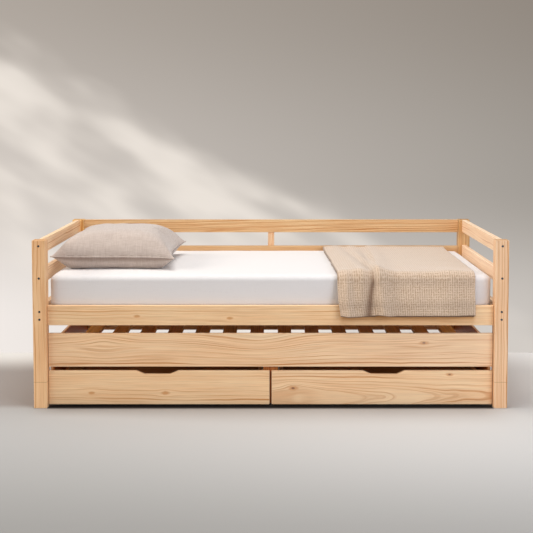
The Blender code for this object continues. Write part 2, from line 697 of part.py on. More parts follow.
def make_trundle(empty):
    panel = add_board(
        "trundle_front_panel",
        (-PANEL_HALF_LENGTH, RAIL_FACE_Y, PANEL_BOTTOM_Z),
        (PANEL_HALF_LENGTH, PANEL_BACK_Y, PANEL_TOP_Z),
    )
    back = add_board(
        "trundle_back_panel",
        (-END_OUTER_X, TRUNDLE_BACK_FACE_Y, END_TOP_Z - TRUNDLE_BACK_HEIGHT),
        (END_OUTER_X, TRUNDLE_BACK_Y, END_TOP_Z),
    )
    pieces = [panel, back]
    ends = {}
    for side, side_name in SIDE_NAMES.items():
        near, far = sorted((side * END_INNER_X, side * END_OUTER_X))
        ends[side] = add_board(
            f"trundle_end_{side_name}",
            (near, PANEL_BACK_Y + FIT_GAP, BOARD_FLOOR_CLEARANCE),
            (far, TRUNDLE_BACK_FACE_Y - FIT_GAP, END_TOP_Z),
            edge=HIDDEN_EDGE,
        )
        pieces.append(ends[side])
    reach = END_INNER_X - FIT_GAP
    ledges = {
        "trundle_ledge_front": PANEL_BACK_Y + FIT_GAP,
        "trundle_ledge_back": TRUNDLE_BACK_FACE_Y - FIT_GAP - LEDGE_THICKNESS,
    }
    for name, near in ledges.items():
        pieces.append(
            add_hidden_board(
                name,
                (-reach, near, TRUNDLE_LEDGE_Z),
                (reach, near + LEDGE_THICKNESS, TRUNDLE_LEDGE_TOP_Z),
            )
        )
    leg_front = PANEL_BACK_Y + FIT_GAP
    pieces.append(
        add_hidden_board(
            "trundle_centre_leg",
            (-CENTRE_LEG_WIDTH / 2, leg_front, BOARD_FLOOR_CLEARANCE),
            (CENTRE_LEG_WIDTH / 2, leg_front + CENTRE_LEG_THICKNESS, TRUNDLE_LEDGE_Z - FIT_GAP),
        )
    )
    pieces.append(
        add_slat_mat(
            "trundle_slats",
            END_INNER_X,
            PANEL_BACK_Y + SLAT_SIDE_CLEARANCE,
            TRUNDLE_BACK_FACE_Y - SLAT_SIDE_CLEARANCE,
            TRUNDLE_SLAT_Z,
        )
    )
    for piece in pieces:
        ride(piece, empty)
    mesh = wheel_mesh(TRUNDLE_WHEEL_RADIUS, TRUNDLE_WHEEL_WIDTH)
    mesh.materials.append(WHEEL_PLASTIC)
    rows = {
        "front": RAIL_FACE_Y + WHEEL_FRONT_MARGIN,
        "back": TRUNDLE_BACK_Y - WHEEL_BACK_MARGIN,
    }
    for side, side_name in SIDE_NAMES.items():
        for row, y in rows.items():
            add_wheel(
                f"trundle_wheel_{row}_{side_name}",
                mesh,
                ends[side],
                side * END_INNER_X,
                side,
                y,
                TRUNDLE_WHEEL_RADIUS,
                empty,
            )


def pull_outline():
    """The finger cut-out's outline in X and Z about the middle of a drawer front's top edge, its two lower
    corners rounded. It is closed above the edge."""
    top, bottom = PULL_TOP_WIDTH / 2, PULL_BOTTOM_WIDTH / 2
    slope = math.atan2(PULL_DEPTH, top - bottom)
    tangent = PULL_ROUNDING * math.tan(slope / 2)
    turn_x = bottom - tangent
    corner = []
    for i in range(PULL_FACETS + 1):
        angle = slope * i / PULL_FACETS
        corner.append(
            (
                turn_x + PULL_ROUNDING * math.sin(angle),
                -PULL_DEPTH + PULL_ROUNDING * (1 - math.cos(angle)),
            )
        )
    rise = OVERRUN / math.tan(slope)
    corner.append((top + rise, OVERRUN))
    return [(-x, z) for x, z in reversed(corner)] + corner


def cut_pull(front, middle_x):
    outline = pull_outline()
    shape = bmesh.new()
    near = RAIL_FACE_Y - OVERRUN
    corners = [shape.verts.new((middle_x + x, near, DRAWER_TOP_Z + z)) for x, z in outline]
    face = shape.faces.new(corners)
    moved = bmesh.ops.extrude_face_region(shape, geom=[face])["geom"]
    depth = Vector((0, DRAWER_FRONT_THICKNESS + 2 * OVERRUN, 0))
    bmesh.ops.translate(
        shape, vec=depth, verts=[v for v in moved if isinstance(v, bmesh.types.BMVert)]
    )
    bmesh.ops.recalc_face_normals(shape, faces=shape.faces)
    combine(front, add_mesh(front.name + "_pull", shape, (0, 0, 0), CUTTERS), "DIFFERENCE")


def make_drawer(side, empty):
    name = f"drawer_{SIDE_NAMES[side]}"
    near_x, far_x = sorted((side * BOX_INNER_X, side * BOX_OUTER_X))
    front_low, front_high = sorted((side * DRAWER_MIDDLE_GAP / 2, side * PANEL_HALF_LENGTH))
    front = add_board(
        f"{name}_front",
        (front_low, RAIL_FACE_Y, DRAWER_FLOOR_CLEARANCE),
        (front_high, RAIL_FACE_Y + DRAWER_FRONT_THICKNESS, DRAWER_TOP_Z),
    )
    sides = {}
    for board_side, board_name, face in ((LEFT, "left", near_x), (RIGHT, "right", far_x)):
        low, high = sorted((face, face - board_side * DRAWER_BOARD_THICKNESS))
        sides[board_side] = add_hidden_board(
            f"{name}_side_{board_name}",
            (low, BOX_FRONT_Y, BOARD_FLOOR_CLEARANCE),
            (high, BOX_BACK_Y, BOX_TOP_Z),
            BOARD,
        )
    inner_low = near_x + DRAWER_BOARD_THICKNESS
    inner_high = far_x - DRAWER_BOARD_THICKNESS
    back = add_hidden_board(
        f"{name}_back",
        (inner_low + FIT_GAP, BOX_BACK_Y - DRAWER_BOARD_THICKNESS, BOARD_FLOOR_CLEARANCE),
        (inner_high - FIT_GAP, BOX_BACK_Y, BOX_TOP_Z),
        BOARD,
    )
    groove_z = DRAWER_BOTTOM_Z - FIT_GAP
    groove_top_z = DRAWER_BOTTOM_Z + DRAWER_BOTTOM_THICKNESS + FIT_GAP
    bite = DRAWER_BOTTOM_BITE + FIT_GAP
    box_inner_back = BOX_BACK_Y - DRAWER_BOARD_THICKNESS
    groove_low = (inner_low - bite, BOX_FRONT_Y - FIT_GAP - bite, groove_z)
    groove_high = (inner_high + bite, box_inner_back + bite, groove_top_z)
    for board in (front, back, *sides.values()):
        cut_block(board, groove_low, groove_high)
    bottom = add_hidden_board(
        f"{name}_bottom",
        (groove_low[0] + FIT_GAP, groove_low[1] + FIT_GAP, DRAWER_BOTTOM_Z),
        (groove_high[0] - FIT_GAP, groove_high[1] - FIT_GAP, DRAWER_BOTTOM_Z + DRAWER_BOTTOM_THICKNESS),
        BOARD,
    )
    cut_pull(front, (front_low + front_high) / 2 + side * PULL_OFFSET)
    for piece in (front, back, bottom, *sides.values()):
        ride(piece, empty)
    mesh = wheel_mesh(DRAWER_WHEEL_RADIUS, DRAWER_WHEEL_WIDTH)
    mesh.materials.append(WHEEL_PLASTIC)
    rows = {
        "front": RAIL_FACE_Y + WHEEL_FRONT_MARGIN,
        "back": BOX_BACK_Y - WHEEL_BACK_MARGIN,
    }
    for board_side, inner_face in ((LEFT, inner_low), (RIGHT, inner_high)):
        for row, y in rows.items():
            add_wheel(
                f"{name}_wheel_{row}_{SIDE_NAMES[board_side]}",
                mesh,
                sides[board_side],
                inner_face,
                board_side,
                y,
                DRAWER_WHEEL_RADIUS,
                empty,
            )


def main():
    make_posts()
    make_end_rails()
    make_long_rails()
    make_bed_ledges()
    make_bed_slats()
    make_mattress()
    make_pillow()
    make_throw()
    make_bolts()
    trundle_empty = add_handle_empty("trundle_slide", (0, RAIL_FACE_Y, PANEL_TOP_Z))
    make_trundle(trundle_empty)
    for side, side_name in SIDE_NAMES.items():
        place = (side * PANEL_HALF_LENGTH / 2, RAIL_FACE_Y, DRAWER_TOP_Z)
        drawer_empty = add_handle_empty(f"drawer_{side_name}_slide", place, trundle_empty)
        make_drawer(side, drawer_empty)
    bpy.context.view_layer.update()
    print("storage daybed:", len([o for o in PARTS.objects if o.type == "MESH"]), "pieces")


main()
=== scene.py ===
import json
import math
import random

import bmesh
import bpy
from mathutils import Matrix, Vector, noise
from mathutils.bvhtree import BVHTree


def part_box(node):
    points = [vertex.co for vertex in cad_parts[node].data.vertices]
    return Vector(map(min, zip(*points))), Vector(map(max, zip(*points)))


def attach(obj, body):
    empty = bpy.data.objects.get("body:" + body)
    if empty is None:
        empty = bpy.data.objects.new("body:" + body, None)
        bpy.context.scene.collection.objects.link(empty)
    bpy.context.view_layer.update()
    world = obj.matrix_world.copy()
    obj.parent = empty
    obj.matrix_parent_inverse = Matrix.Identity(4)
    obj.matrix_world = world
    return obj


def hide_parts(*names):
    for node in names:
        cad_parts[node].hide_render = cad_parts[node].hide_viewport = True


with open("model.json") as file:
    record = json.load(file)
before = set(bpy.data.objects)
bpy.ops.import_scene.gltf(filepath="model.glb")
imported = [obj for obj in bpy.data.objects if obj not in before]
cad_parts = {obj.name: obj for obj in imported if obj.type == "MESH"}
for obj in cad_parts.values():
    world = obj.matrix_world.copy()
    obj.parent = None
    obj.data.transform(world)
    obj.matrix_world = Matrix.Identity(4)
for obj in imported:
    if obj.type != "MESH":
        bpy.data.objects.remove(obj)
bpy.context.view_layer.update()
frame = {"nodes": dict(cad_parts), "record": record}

scene = bpy.context.scene
nodes = frame["nodes"]
print("frame loaded:", len(nodes), "nodes")


# Small helpers for shader nodes

def srgb(code):  # a colour as it looks on screen, to the linear one that shaders take
    parts = [int(code[i : i + 2], 16) / 255 for i in (0, 2, 4)]
    return (*[c / 12.92 if c <= 0.04045 else ((c + 0.055) / 1.055) ** 2.4 for c in parts], 1.0)


def connect(tree, socket, value):
    if isinstance(value, bpy.types.NodeSocket):
        tree.links.new(value, socket)
    elif isinstance(value, str):
        socket.default_value = srgb(value)
    else:
        socket.default_value = value


def addNode(tree, kind, inputs=None, **settings):
    node = tree.nodes.new("ShaderNode" + kind)
    for name, value in settings.items():
        setattr(node, name, value)
    for name, value in (inputs or {}).items():
        connect(tree, node.inputs[name], value)
    return node


def compute(tree, operation, *values):
    return addNode(tree, "Math", dict(enumerate(values)), operation=operation).outputs[0]


def times(tree, first, *others):
    for other in others:
        first = compute(tree, "MULTIPLY", first, other)
    return first


def vectorMath(tree, operation, *values):
    node = addNode(tree, "VectorMath", dict(enumerate(values)), operation=operation)
    return node.outputs["Value" if operation == "LENGTH" else "Vector"]


def split(tree, vector):
    return addNode(tree, "SeparateXYZ", {0: vector}).outputs


def remap(tree, value, low, high, start=0.0, end=1.0, kind="SMOOTHSTEP"):
    inputs = {0: value, 1: low, 2: high, 3: start, 4: end}
    return addNode(tree, "MapRange", inputs, interpolation_type=kind).outputs[0]


def mixColour(tree, share, first, second, mode="MIX"):
    inputs = {0: share, 6: first, 7: second}
    return addNode(tree, "Mix", inputs, data_type="RGBA", blend_type=mode).outputs[2]


def noiseOf(tree, vector, stretch, detail=2.0, roughness=0.5):
    scaled = vectorMath(tree, "MULTIPLY", vector, stretch)
    inputs = {"Vector": scaled, "Scale": 1.0, "Detail": detail, "Roughness": roughness}
    return addNode(tree, "TexNoise", inputs).outputs[0]


def addSeed(tree, vector, seed):  # moves a pattern far enough that no two boards show the same part of it
    away = addNode(tree, "VectorMath", {0: (7.31, 3.77, 5.93), "Scale": seed}, operation="SCALE")
    return vectorMath(tree, "ADD", vector, away.outputs[0])


def newGroup(name, inputs, outputs):
    tree = bpy.data.node_groups.new(name, "ShaderNodeTree")
    for label, kind, value in inputs:
        socket = tree.interface.new_socket(name=label, in_out="INPUT", socket_type="NodeSocket" + kind)
        socket.default_value = value
    for label, kind in outputs:
        tree.interface.new_socket(name=label, in_out="OUTPUT", socket_type="NodeSocket" + kind)
    return tree, tree.nodes.new("NodeGroupInput").outputs, tree.nodes.new("NodeGroupOutput").inputs


def useGroup(tree, group, inputs):
    node = tree.nodes.new("ShaderNodeGroup")
    node.node_tree = group
    for name, value in inputs.items():
        connect(tree, node.inputs[name], value)
    return node.outputs


def newMaterial(name):
    material = bpy.data.materials.new(name)
    material.use_nodes = True
    return material, material.node_tree, material.node_tree.nodes["Principled BSDF"]


def paint(tree, shader, colour, pattern, roughness, reach=(0.2, 0.8)):
    connect(tree, shader.inputs["Base Color"], colour)
    connect(tree, shader.inputs["Roughness"], remap(tree, pattern, *reach, *roughness, "LINEAR"))


def addBump(tree, shader, height, distance, strength=1.0):
    inputs = {"Height": height, "Distance": distance, "Strength": strength}
    connect(tree, shader.inputs["Normal"], addNode(tree, "Bump", inputs).outputs[0])


def objectPlace(tree):
    return addNode(tree, "TexCoord").outputs["Object"]


# Pine: growth rings round a pith line, seen where the board's faces cut through them

def buildPineFigure():
    tree, given, result = newGroup(
        "pineFigure",
        (
            ("Grain Vector", "Vector", (0, 0, 0)),  # along the grain in X, in metres
            ("Pith", "Vector", (0, 0.1, 0.1)),
            ("Slant", "Vector", (0, 0, 0)),
            ("Ring Width", "Float", 0.005),
            ("Wander", "Float", 0.004),
            ("Seed", "Float", 0.0),
        ),
        (("Late Wood", "Float"), ("Fibre", "Float"), ("Tone", "Float")),
    )
    grain = given["Grain Vector"]
    place = addSeed(tree, grain, given["Seed"])
    along = split(tree, grain)[0]
    slant = addNode(tree, "VectorMath", {0: given["Slant"], "Scale": along}, operation="SCALE").outputs[0]
    pith = vectorMath(tree, "ADD", given["Pith"], slant)
    across = vectorMath(tree, "MULTIPLY", vectorMath(tree, "SUBTRACT", grain, pith), (0, 1, 1))
    slow = compute(tree, "SUBTRACT", noiseOf(tree, place, (3.3, 4.5, 4.5), 2.0, 0.45), 0.5)
    quick = compute(tree, "SUBTRACT", noiseOf(tree, place, (12, 22, 22), 1.0), 0.5)
    wave = compute(tree, "MULTIPLY_ADD", quick, 0.07, slow)
    distance = compute(tree, "MULTIPLY_ADD", wave, given["Wander"], vectorMath(tree, "LENGTH", across))
    count = compute(tree, "DIVIDE", distance, given["Ring Width"])
    years = addNode(
        tree, "TexNoise", {"W": times(tree, count, 0.37), "Scale": 1.0, "Detail": 1.0},
        noise_dimensions="1D",
    ).outputs[0]
    count = compute(tree, "MULTIPLY_ADD", years, 3.4, count)
    share = compute(tree, "FRACT", count)
    year = addNode(tree, "TexWhiteNoise", {"W": compute(tree, "FLOOR", count)}, noise_dimensions="1D")
    depth = remap(tree, year.outputs[0], 0.15, 0.95, 0.12, 1.0, "LINEAR")
    summer = remap(tree, share, 0.55, 0.84)
    winter = remap(tree, share, 0.86, 0.97, 1.0, 0.0)
    fading = remap(tree, noiseOf(tree, place, (2.2, 22, 22), 1.0), 0.36, 0.6, 0.3, 1.0)
    late = times(tree, summer, winter, depth, fading)
    flow = addNode(tree, "CombineXYZ", {0: times(tree, along, 2.6), 1: count, 2: given["Seed"]})
    streak = remap(tree, noiseOf(tree, flow.outputs[0], (1, 3.2, 1), 2.0, 0.6), 0.46, 0.72)
    late = compute(tree, "MULTIPLY_ADD", streak, 0.42, late)
    connect(tree, result["Late Wood"], late)
    connect(tree, result["Fibre"], noiseOf(tree, place, (7, 240, 240), 3.0, 0.62))
    connect(tree, result["Tone"], noiseOf(tree, place, (2.6, 15, 15), 2.0))
    return tree


def buildPineKnot():  # bends the grain round a knot that runs through the board's thickness
    tree, given, result = newGroup(
        "pineKnot",
        (("Grain Vector", "Vector", (0, 0, 0)), ("Centre", "Vector", (0, 0, 0)), ("Size", "Float", 0.01)),
        (("Grain Vector", "Vector"), ("Core", "Float"), ("Halo", "Float")),
    )
    grain = given["Grain Vector"]
    size = given["Size"]
    x, _, z = split(tree, vectorMath(tree, "SUBTRACT", grain, given["Centre"]))
    dx = compute(tree, "DIVIDE", x, size)
    dz = compute(tree, "DIVIDE", z, size)
    rough = noiseOf(tree, grain, (70, 70, 90), 2.0)

    def bell(width, height):
        wide = compute(tree, "POWER", compute(tree, "DIVIDE", dx, width), 2.0)
        tall = compute(tree, "POWER", compute(tree, "DIVIDE", dz, height), 2.0)
        return compute(tree, "EXPONENT", times(tree, compute(tree, "ADD", wide, tall), -1.0))

    squeeze = times(tree, bell(9.0, 4.0), z, -0.85)
    bent = vectorMath(tree, "ADD", grain, addNode(tree, "CombineXYZ", {2: squeeze}).outputs[0])
    core = compute(tree, "MULTIPLY_ADD", rough, -0.45, bell(1.5, 0.9))
    halo = compute(tree, "MULTIPLY_ADD", rough, -0.5, bell(5.0, 2.2))
    connect(tree, result["Grain Vector"], bent)
    connect(tree, result["Core"], remap(tree, core, 0.05, 0.45))
    connect(tree, result["Halo"], remap(tree, halo, 0.0, 0.6))
    return tree


def buildBoardEdges():  # how near a place is to a board's long edges, and to its sawn ends
    tree, given, result = newGroup(
        "boardEdges",
        (("Grain Vector", "Vector", (0, 0, 0)), ("Half Size", "Vector", (1, 1, 1))),
        (("Edge", "Float"), ("End", "Float")),
    )
    grain = given["Grain Vector"]
    inward = vectorMath(tree, "SUBTRACT", given["Half Size"], vectorMath(tree, "ABSOLUTE", grain))
    x, y, z = split(tree, inward)
    low = compute(tree, "MINIMUM", x, y)
    high = compute(tree, "MAXIMUM", x, y)
    middle = compute(tree, "MAXIMUM", low, compute(tree, "MINIMUM", high, z))
    ragged = compute(tree, "MULTIPLY_ADD", noiseOf(tree, grain, (14, 60, 60)), 0.004, middle)
    connect(tree, result["Edge"], remap(tree, ragged, 0.0022, 0.0058, 1.0, 0.0))
    connect(tree, result["End"], remap(tree, x, 0.0003, 0.0012, 1.0, 0.0))
    return tree


pineFigure = buildPineFigure()
pineKnot = buildPineKnot()
boardEdges = buildBoardEdges()

pineLook = dict(
    early="ffdcb4", earlyRed="facda0", late="cb7f2e", edgeHighlight="f8e0be", endGrain="c4935f", pale="ffecd8",
    knotHalo="d08438", knotCore="7a431d", ringShare=1.0, roughness=0.46, bump=0.00035,
    ringWidth=0.0085, wander=0.018, gloss=0.5,
)
grainTurns = {"X": (0, 0, 0), "Y": (0, 0, -math.pi / 2), "Z": (0, math.pi / 2, 0)}


def boardPlace(tree, low, high, axis):  # Object coordinates, centred on the board with the grain along X
    turn = grainTurns[axis]
    centre = (low + high) / 2
    shift = -(Matrix.Rotation(turn[2], 3, "Z") @ Matrix.Rotation(turn[1], 3, "Y") @ centre)
    inputs = {"Vector": objectPlace(tree), "Location": shift, "Rotation": turn}
    half = (high - low) / 2
    order = {"X": (0, 1, 2), "Y": (1, 0, 2), "Z": (2, 1, 0)}[axis]
    return addNode(tree, "Mapping", inputs).outputs[0], Vector([half[i] for i in order])


def finishPine(tree, shader, grain, half, look, pith, slant, seed,
               knots=(), warmth=0.5, tint=None, pale=0.0, shade=None):
    cores = []
    halos = []
    for along, up, size, *kind in knots:
        knot = useGroup(tree, pineKnot, {"Grain Vector": grain, "Centre": (along, 0, up), "Size": size})
        grain = knot["Grain Vector"]
        if kind != ["bare"]:
            halos.append(knot["Halo"])
        if not kind:
            cores.append(knot["Core"])
    figure = useGroup(tree, pineFigure, {
        "Grain Vector": grain, "Pith": (0, *pith), "Slant": (0, *slant), "Seed": seed,
        "Ring Width": look["ringWidth"], "Wander": look["wander"],
    })
    edges = useGroup(tree, boardEdges, {"Grain Vector": grain, "Half Size": half})
    redness = remap(tree, figure["Tone"], 0.35, 0.65, warmth - 0.35, warmth + 0.35, "LINEAR")
    early = mixColour(tree, redness, look["early"], look["earlyRed"])
    ring = times(tree, figure["Late Wood"], look["ringShare"])
    colour = mixColour(tree, ring, early, look["late"])
    streak = remap(tree, figure["Fibre"], 0.3, 0.7, 0.91, 1.06, "LINEAR")
    grey = addNode(tree, "CombineXYZ", {0: streak, 1: streak, 2: streak}).outputs[0]
    colour = mixColour(tree, 1.0, colour, grey, "MULTIPLY")
    for halo in halos:
        colour = mixColour(tree, times(tree, halo, 0.65), colour, look["knotHalo"])
    for core in cores:
        colour = mixColour(tree, times(tree, core, 0.85), colour, look["knotCore"])
    # painted highlight where the boards' rounded long edges catch the light
    colour = mixColour(tree, times(tree, edges["Edge"], 0.45), colour, look["edgeHighlight"])
    colour = mixColour(tree, times(tree, edges["End"], 0.7), colour, look["endGrain"])
    if tint:
        colour = mixColour(tree, 1.0, colour, tint, "MULTIPLY")
    if pale:
        colour = mixColour(tree, pale, colour, look["pale"])
    if shade:
        colour = shade(tree, colour)
    roughness = (look["roughness"] - 0.06, look["roughness"] + 0.08)
    paint(tree, shader, colour, figure["Fibre"], roughness)
    shader.inputs["Specular IOR Level"].default_value = look["gloss"]
    ridges = times(tree, figure["Late Wood"], 0.5)
    height = compute(tree, "MULTIPLY_ADD", figure["Fibre"], 0.5, ridges)
    addBump(tree, shader, height, look["bump"])


def shadeSmooth(mesh):
    mesh.polygons.foreach_set("use_smooth", [True] * len(mesh.polygons))


def smoothFaces(piece):  # joins the CAD's own vertices and shades its rounded edges smooth
    mesh = piece.data
    for name in ("custom_normal", "sharp_edge", "sharp_face"):
        if name in mesh.attributes:
            mesh.attributes.remove(mesh.attributes[name])
    shadeSmooth(mesh)
    piece.modifiers.new("joined", "WELD").merge_threshold = 0.00001
    piece.modifiers.new("corners", "EDGE_SPLIT").split_angle = math.radians(38)
    piece.modifiers.new("shading", "WEIGHTED_NORMAL").keep_sharp = True


def addObject(name, shape):
    mesh = bpy.data.meshes.new(name)
    shape.to_mesh(mesh)
    shape.free()
    piece = bpy.data.objects.new(name, mesh)
    scene.collection.objects.link(piece)
    return piece


def dress(piece, material):
    piece.data.materials.clear()
    piece.data.materials.append(material)


# What shows of each board's own figure. Pith and slant are across the grain: depth, then height.
# A knot is its place along the board and up it, its size, and "soft" if it has no dark core, or "bare" if it
# only bends the grain.
boardFigures = {
    "post_front_left": dict(tint="fdf2e2"),
    "post_front_right": dict(tint="fbf6f4"),
    # the back posts' tints are painted shade, for the shade at the back of the bed
    "post_back_left": dict(tint="fcf1c4"),
    "post_back_right": dict(tint="dfd1b1"),
    "trundle_front_panel": dict(
        pith=(0.075, -0.15), slant=(0.010, 0.012), seed=3.1, pale=0.07, tint="fffcf4", ringShare=1.35,
        knots=((0.692, 0.033, 0.0052), (-0.05, 0.085, 0.022, "bare"), (-0.75, 0.02, 0.012, "bare")),
    ),
    "drawer_left_front": dict(
        pith=(0.085, -0.13), slant=(0.010, 0.006), seed=5.2, tint="fffdf5", ringShare=0.65,
        knots=((0.028, -0.0253, 0.0045, "soft"), (-0.3055, -0.0253, 0.0035, "soft")),
    ),
    "drawer_right_front": dict(
        pith=(0.075, -0.045), slant=(0.030, 0.016), seed=8.7, pale=0.08, tint="fffcf2",
        knots=((0.305, 0.060, 0.0042), (-0.402, -0.003, 0.0055), (-0.36, -0.05, 0.012, "bare")),
    ),
    "side_rail_front": dict(
        pith=(0.07, 0.11), slant=(0.006, -0.01), seed=12.4, tint="fffcf2", ringShare=0.65,
        knots=((-0.602, -0.003, 0.0035, "soft"), (-0.183, -0.012, 0.0035, "soft")),
    ),
    # the back rails' tints are painted shade, for the shade at the back of the bed
    "back_top_rail": dict(
        pith=(-0.07, -0.06), slant=(0.02, 0.008), seed=15.3, tint="e5decb", ringShare=1.6,
    ),
    "back_guard_rail": dict(pith=(-0.07, 0.08), slant=(0.01, 0.004), seed=17.9, tint="e1dac7"),
    # the centre leg's dark tint is painted shade: it shows in the dark slot above the drawers
    "trundle_centre_leg": dict(tint="c08c4c"),
    "trundle_end_left": dict(gloss=0.1),
    "trundle_end_right": dict(gloss=0.1),
    # the right end's rails are paler: painted light, for the light from the left on their inner faces
    "end_top_rail_right": dict(pale=0.3),
    "end_guard_rail_right": dict(pale=0.3),
}
# The drawer boxes' boards, their bottoms most, are a darker pine than the frame's: painted shade, for the
# dark insides of the drawers.
drawerLook = dict(early="e2b47c", earlyRed="d8a66c", late="b07838", edgeHighlight="e6c392", roughness=0.62)
bottomLook = dict(early="ae7638", earlyRed="a26a30", late="8a5526", edgeHighlight="b27c40")
drawerBoards = [
    f"drawer_{side}_{part}"
    for side in ("left", "right") for part in ("back", "side_left", "side_right", "bottom")
]
footLook = dict(height=0.119, line="a8743c")
endLook = dict(innerX=0.983, inside="c88a48")
hemShadeLook = dict(left=(0.300, 0.330), right=(0.905, 0.930), low=0.378, high=0.418, colour="d6b98e")
palerLook = dict(start=-0.2, end=0.9, most=0.13)


def drawFootJoint(tree, colour):  # the glue line across a post, where its foot is joined on
    z = split(tree, objectPlace(tree))[2]
    away = compute(tree, "ABSOLUTE", compute(tree, "SUBTRACT", z, footLook["height"]))
    return mixColour(tree, remap(tree, away, 0.0005, 0.0016, 0.6, 0.0), colour, footLook["line"])


def paintInsideShade(tree, colour):  # painted shade: the inner faces of the trundle's end boards are darker, for the shade inside the trundle
    x = split(tree, objectPlace(tree))[0]
    inner = remap(tree, compute(tree, "ABSOLUTE", x), endLook["innerX"], endLook["innerX"] + 0.004, 1.0, 0.0)
    return mixColour(tree, inner, colour, mixColour(tree, 1.0, colour, endLook["inside"], "MULTIPLY"))


def drawHemShade(tree, colour):  # the rail under the throw's hem, where the cloth keeps the light off
    look = hemShadeLook
    x, _, z = split(tree, objectPlace(tree))
    fromLeft = remap(tree, x, *look["left"])
    toRight = remap(tree, x, *look["right"], 1.0, 0.0)
    under = times(tree, fromLeft, toRight, remap(tree, z, look["low"], look["high"], 0.25, 1.0))
    return mixColour(tree, under, colour, mixColour(tree, 1.0, colour, look["colour"], "MULTIPLY"))


def paintLighterRightEnd(tree, colour):  # painted light: the trundle's front panel is paler towards its right end, where the light falls brighter
    x = split(tree, objectPlace(tree))[0]
    share = remap(tree, x, palerLook["start"], palerLook["end"], 0.0, palerLook["most"])
    return mixColour(tree, share, colour, pineLook["pale"])


boardShades = {
    "post_": drawFootJoint, "trundle_end_": paintInsideShade, "side_rail_front": drawHemShade,
    "trundle_front_panel": paintLighterRightEnd,
}


def pineNames():
    used = {slot["node"]: slot["material_slot"] for slot in frame["record"]["subparts"]}
    return sorted(name for name in nodes if used.get(name) in ("pine", "drawer_board"))


def dressBoards():
    for order, name in enumerate(pineNames()):
        piece = nodes[name]
        low, high = (Vector(corner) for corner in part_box(name))
        size = high - low
        axis = "XYZ"[max(range(3), key=lambda i: size[i])]
        chance = random.Random(order * 17 + 5)
        pithDepth = chance.choice((-1, 1)) * chance.uniform(0.05, 0.09)
        pithHeight = chance.choice((-1, 1)) * chance.uniform(0.04, 0.12)
        figure = dict(
            pith=(pithDepth, pithHeight),
            slant=(chance.uniform(-0.02, 0.02), chance.uniform(-0.012, 0.012)),
            seed=chance.uniform(20, 60), warmth=chance.uniform(0.3, 0.7),
        )
        figure.update(boardFigures.get(name, {}))
        look = dict(pineLook)
        for key in ("ringShare", "gloss"):
            look[key] = figure.pop(key, look[key])
        if name in drawerBoards:
            look.update(drawerLook)
        if name.endswith("_bottom"):
            look.update(bottomLook)
        for beginning, shade in boardShades.items():
            if name.startswith(beginning):
                figure["shade"] = shade
        material, tree, shader = newMaterial("pine_" + name)
        grain, half = boardPlace(tree, low, high, axis)
        finishPine(tree, shader, grain, half, look, **figure)
        dress(piece, material)
        smoothFaces(piece)


dressBoards()
print("boards dressed")


# Slat mats: each slat is its own board, and the tapes under them are woven

# The slats are a more orange pine than the frame's: painted shade, for the warm shade they lie in under the
# bed.
slatLook = dict(
    pineLook, early="ffc46c", earlyRed="fcb25a", roughness=0.6, gloss=0.1,
    pith=(0.12, 0.02), slant=(0.0, 0.01), seed=71.0, count=14, width=0.065, apart=0.24,
    tape="d3c8b6", tapeRib="9c907e", tapeInset=0.2, tapeWidth=0.025, tapeTop=0.0016, ribPitch=0.0016,
)


def dressSlats(name, look):
    piece = nodes[name]
    low, high = (Vector(corner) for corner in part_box(name))
    material, tree, shader = newMaterial("pine_" + name)
    grain, half = boardPlace(tree, low, high, "Y")
    pitch = (high.x - low.x - look["width"]) / (look["count"] - 1)
    x, y, z = split(tree, objectPlace(tree))
    number = compute(tree, "FLOOR", compute(tree, "DIVIDE", compute(tree, "SUBTRACT", x, low.x), pitch))
    chance = addNode(tree, "TexWhiteNoise", {"W": number}, noise_dimensions="1D").outputs[0]
    own = times(tree, compute(tree, "SUBTRACT", chance, 0.5), look["apart"])
    apart = vectorMath(tree, "ADD", grain, addNode(tree, "CombineXYZ", {0: number, 2: own}).outputs[0])
    farEdges = half * 40  # the mat's outline is no board's edge, so it is moved out of reach

    def weaveTape(tree, colour):
        middle = (high.y + low.y) / 2
        reach = (high.y - low.y) / 2 - look["tapeInset"]
        halfTape = look["tapeWidth"] / 2
        aside = compute(tree, "ABSOLUTE", compute(tree, "SUBTRACT", y, middle))
        away = compute(tree, "ABSOLUTE", compute(tree, "SUBTRACT", aside, reach))
        across = remap(tree, away, halfTape, halfTape + 0.0004, 1.0, 0.0)
        top = low.z + look["tapeTop"]
        under = remap(tree, z, top, top + 0.0002, 1.0, 0.0, "LINEAR")
        ribs = compute(tree, "SINE", times(tree, y, 2 * math.pi / look["ribPitch"]))
        tape = mixColour(tree, remap(tree, ribs, -1.0, 1.0, 0.0, 0.3), look["tape"], look["tapeRib"])
        return mixColour(tree, times(tree, under, across), colour, tape)

    figure = {key: look[key] for key in ("pith", "slant", "seed")}
    finishPine(tree, shader, apart, farEdges, look, shade=weaveTape, **figure)
    dress(piece, material)
    smoothFaces(piece)


for mat in ("bed_slats", "trundle_slats"):
    dressSlats(mat, slatLook)
print("slat mats dressed")


# Cloth: threads over and under each other, with thick and thin places along them

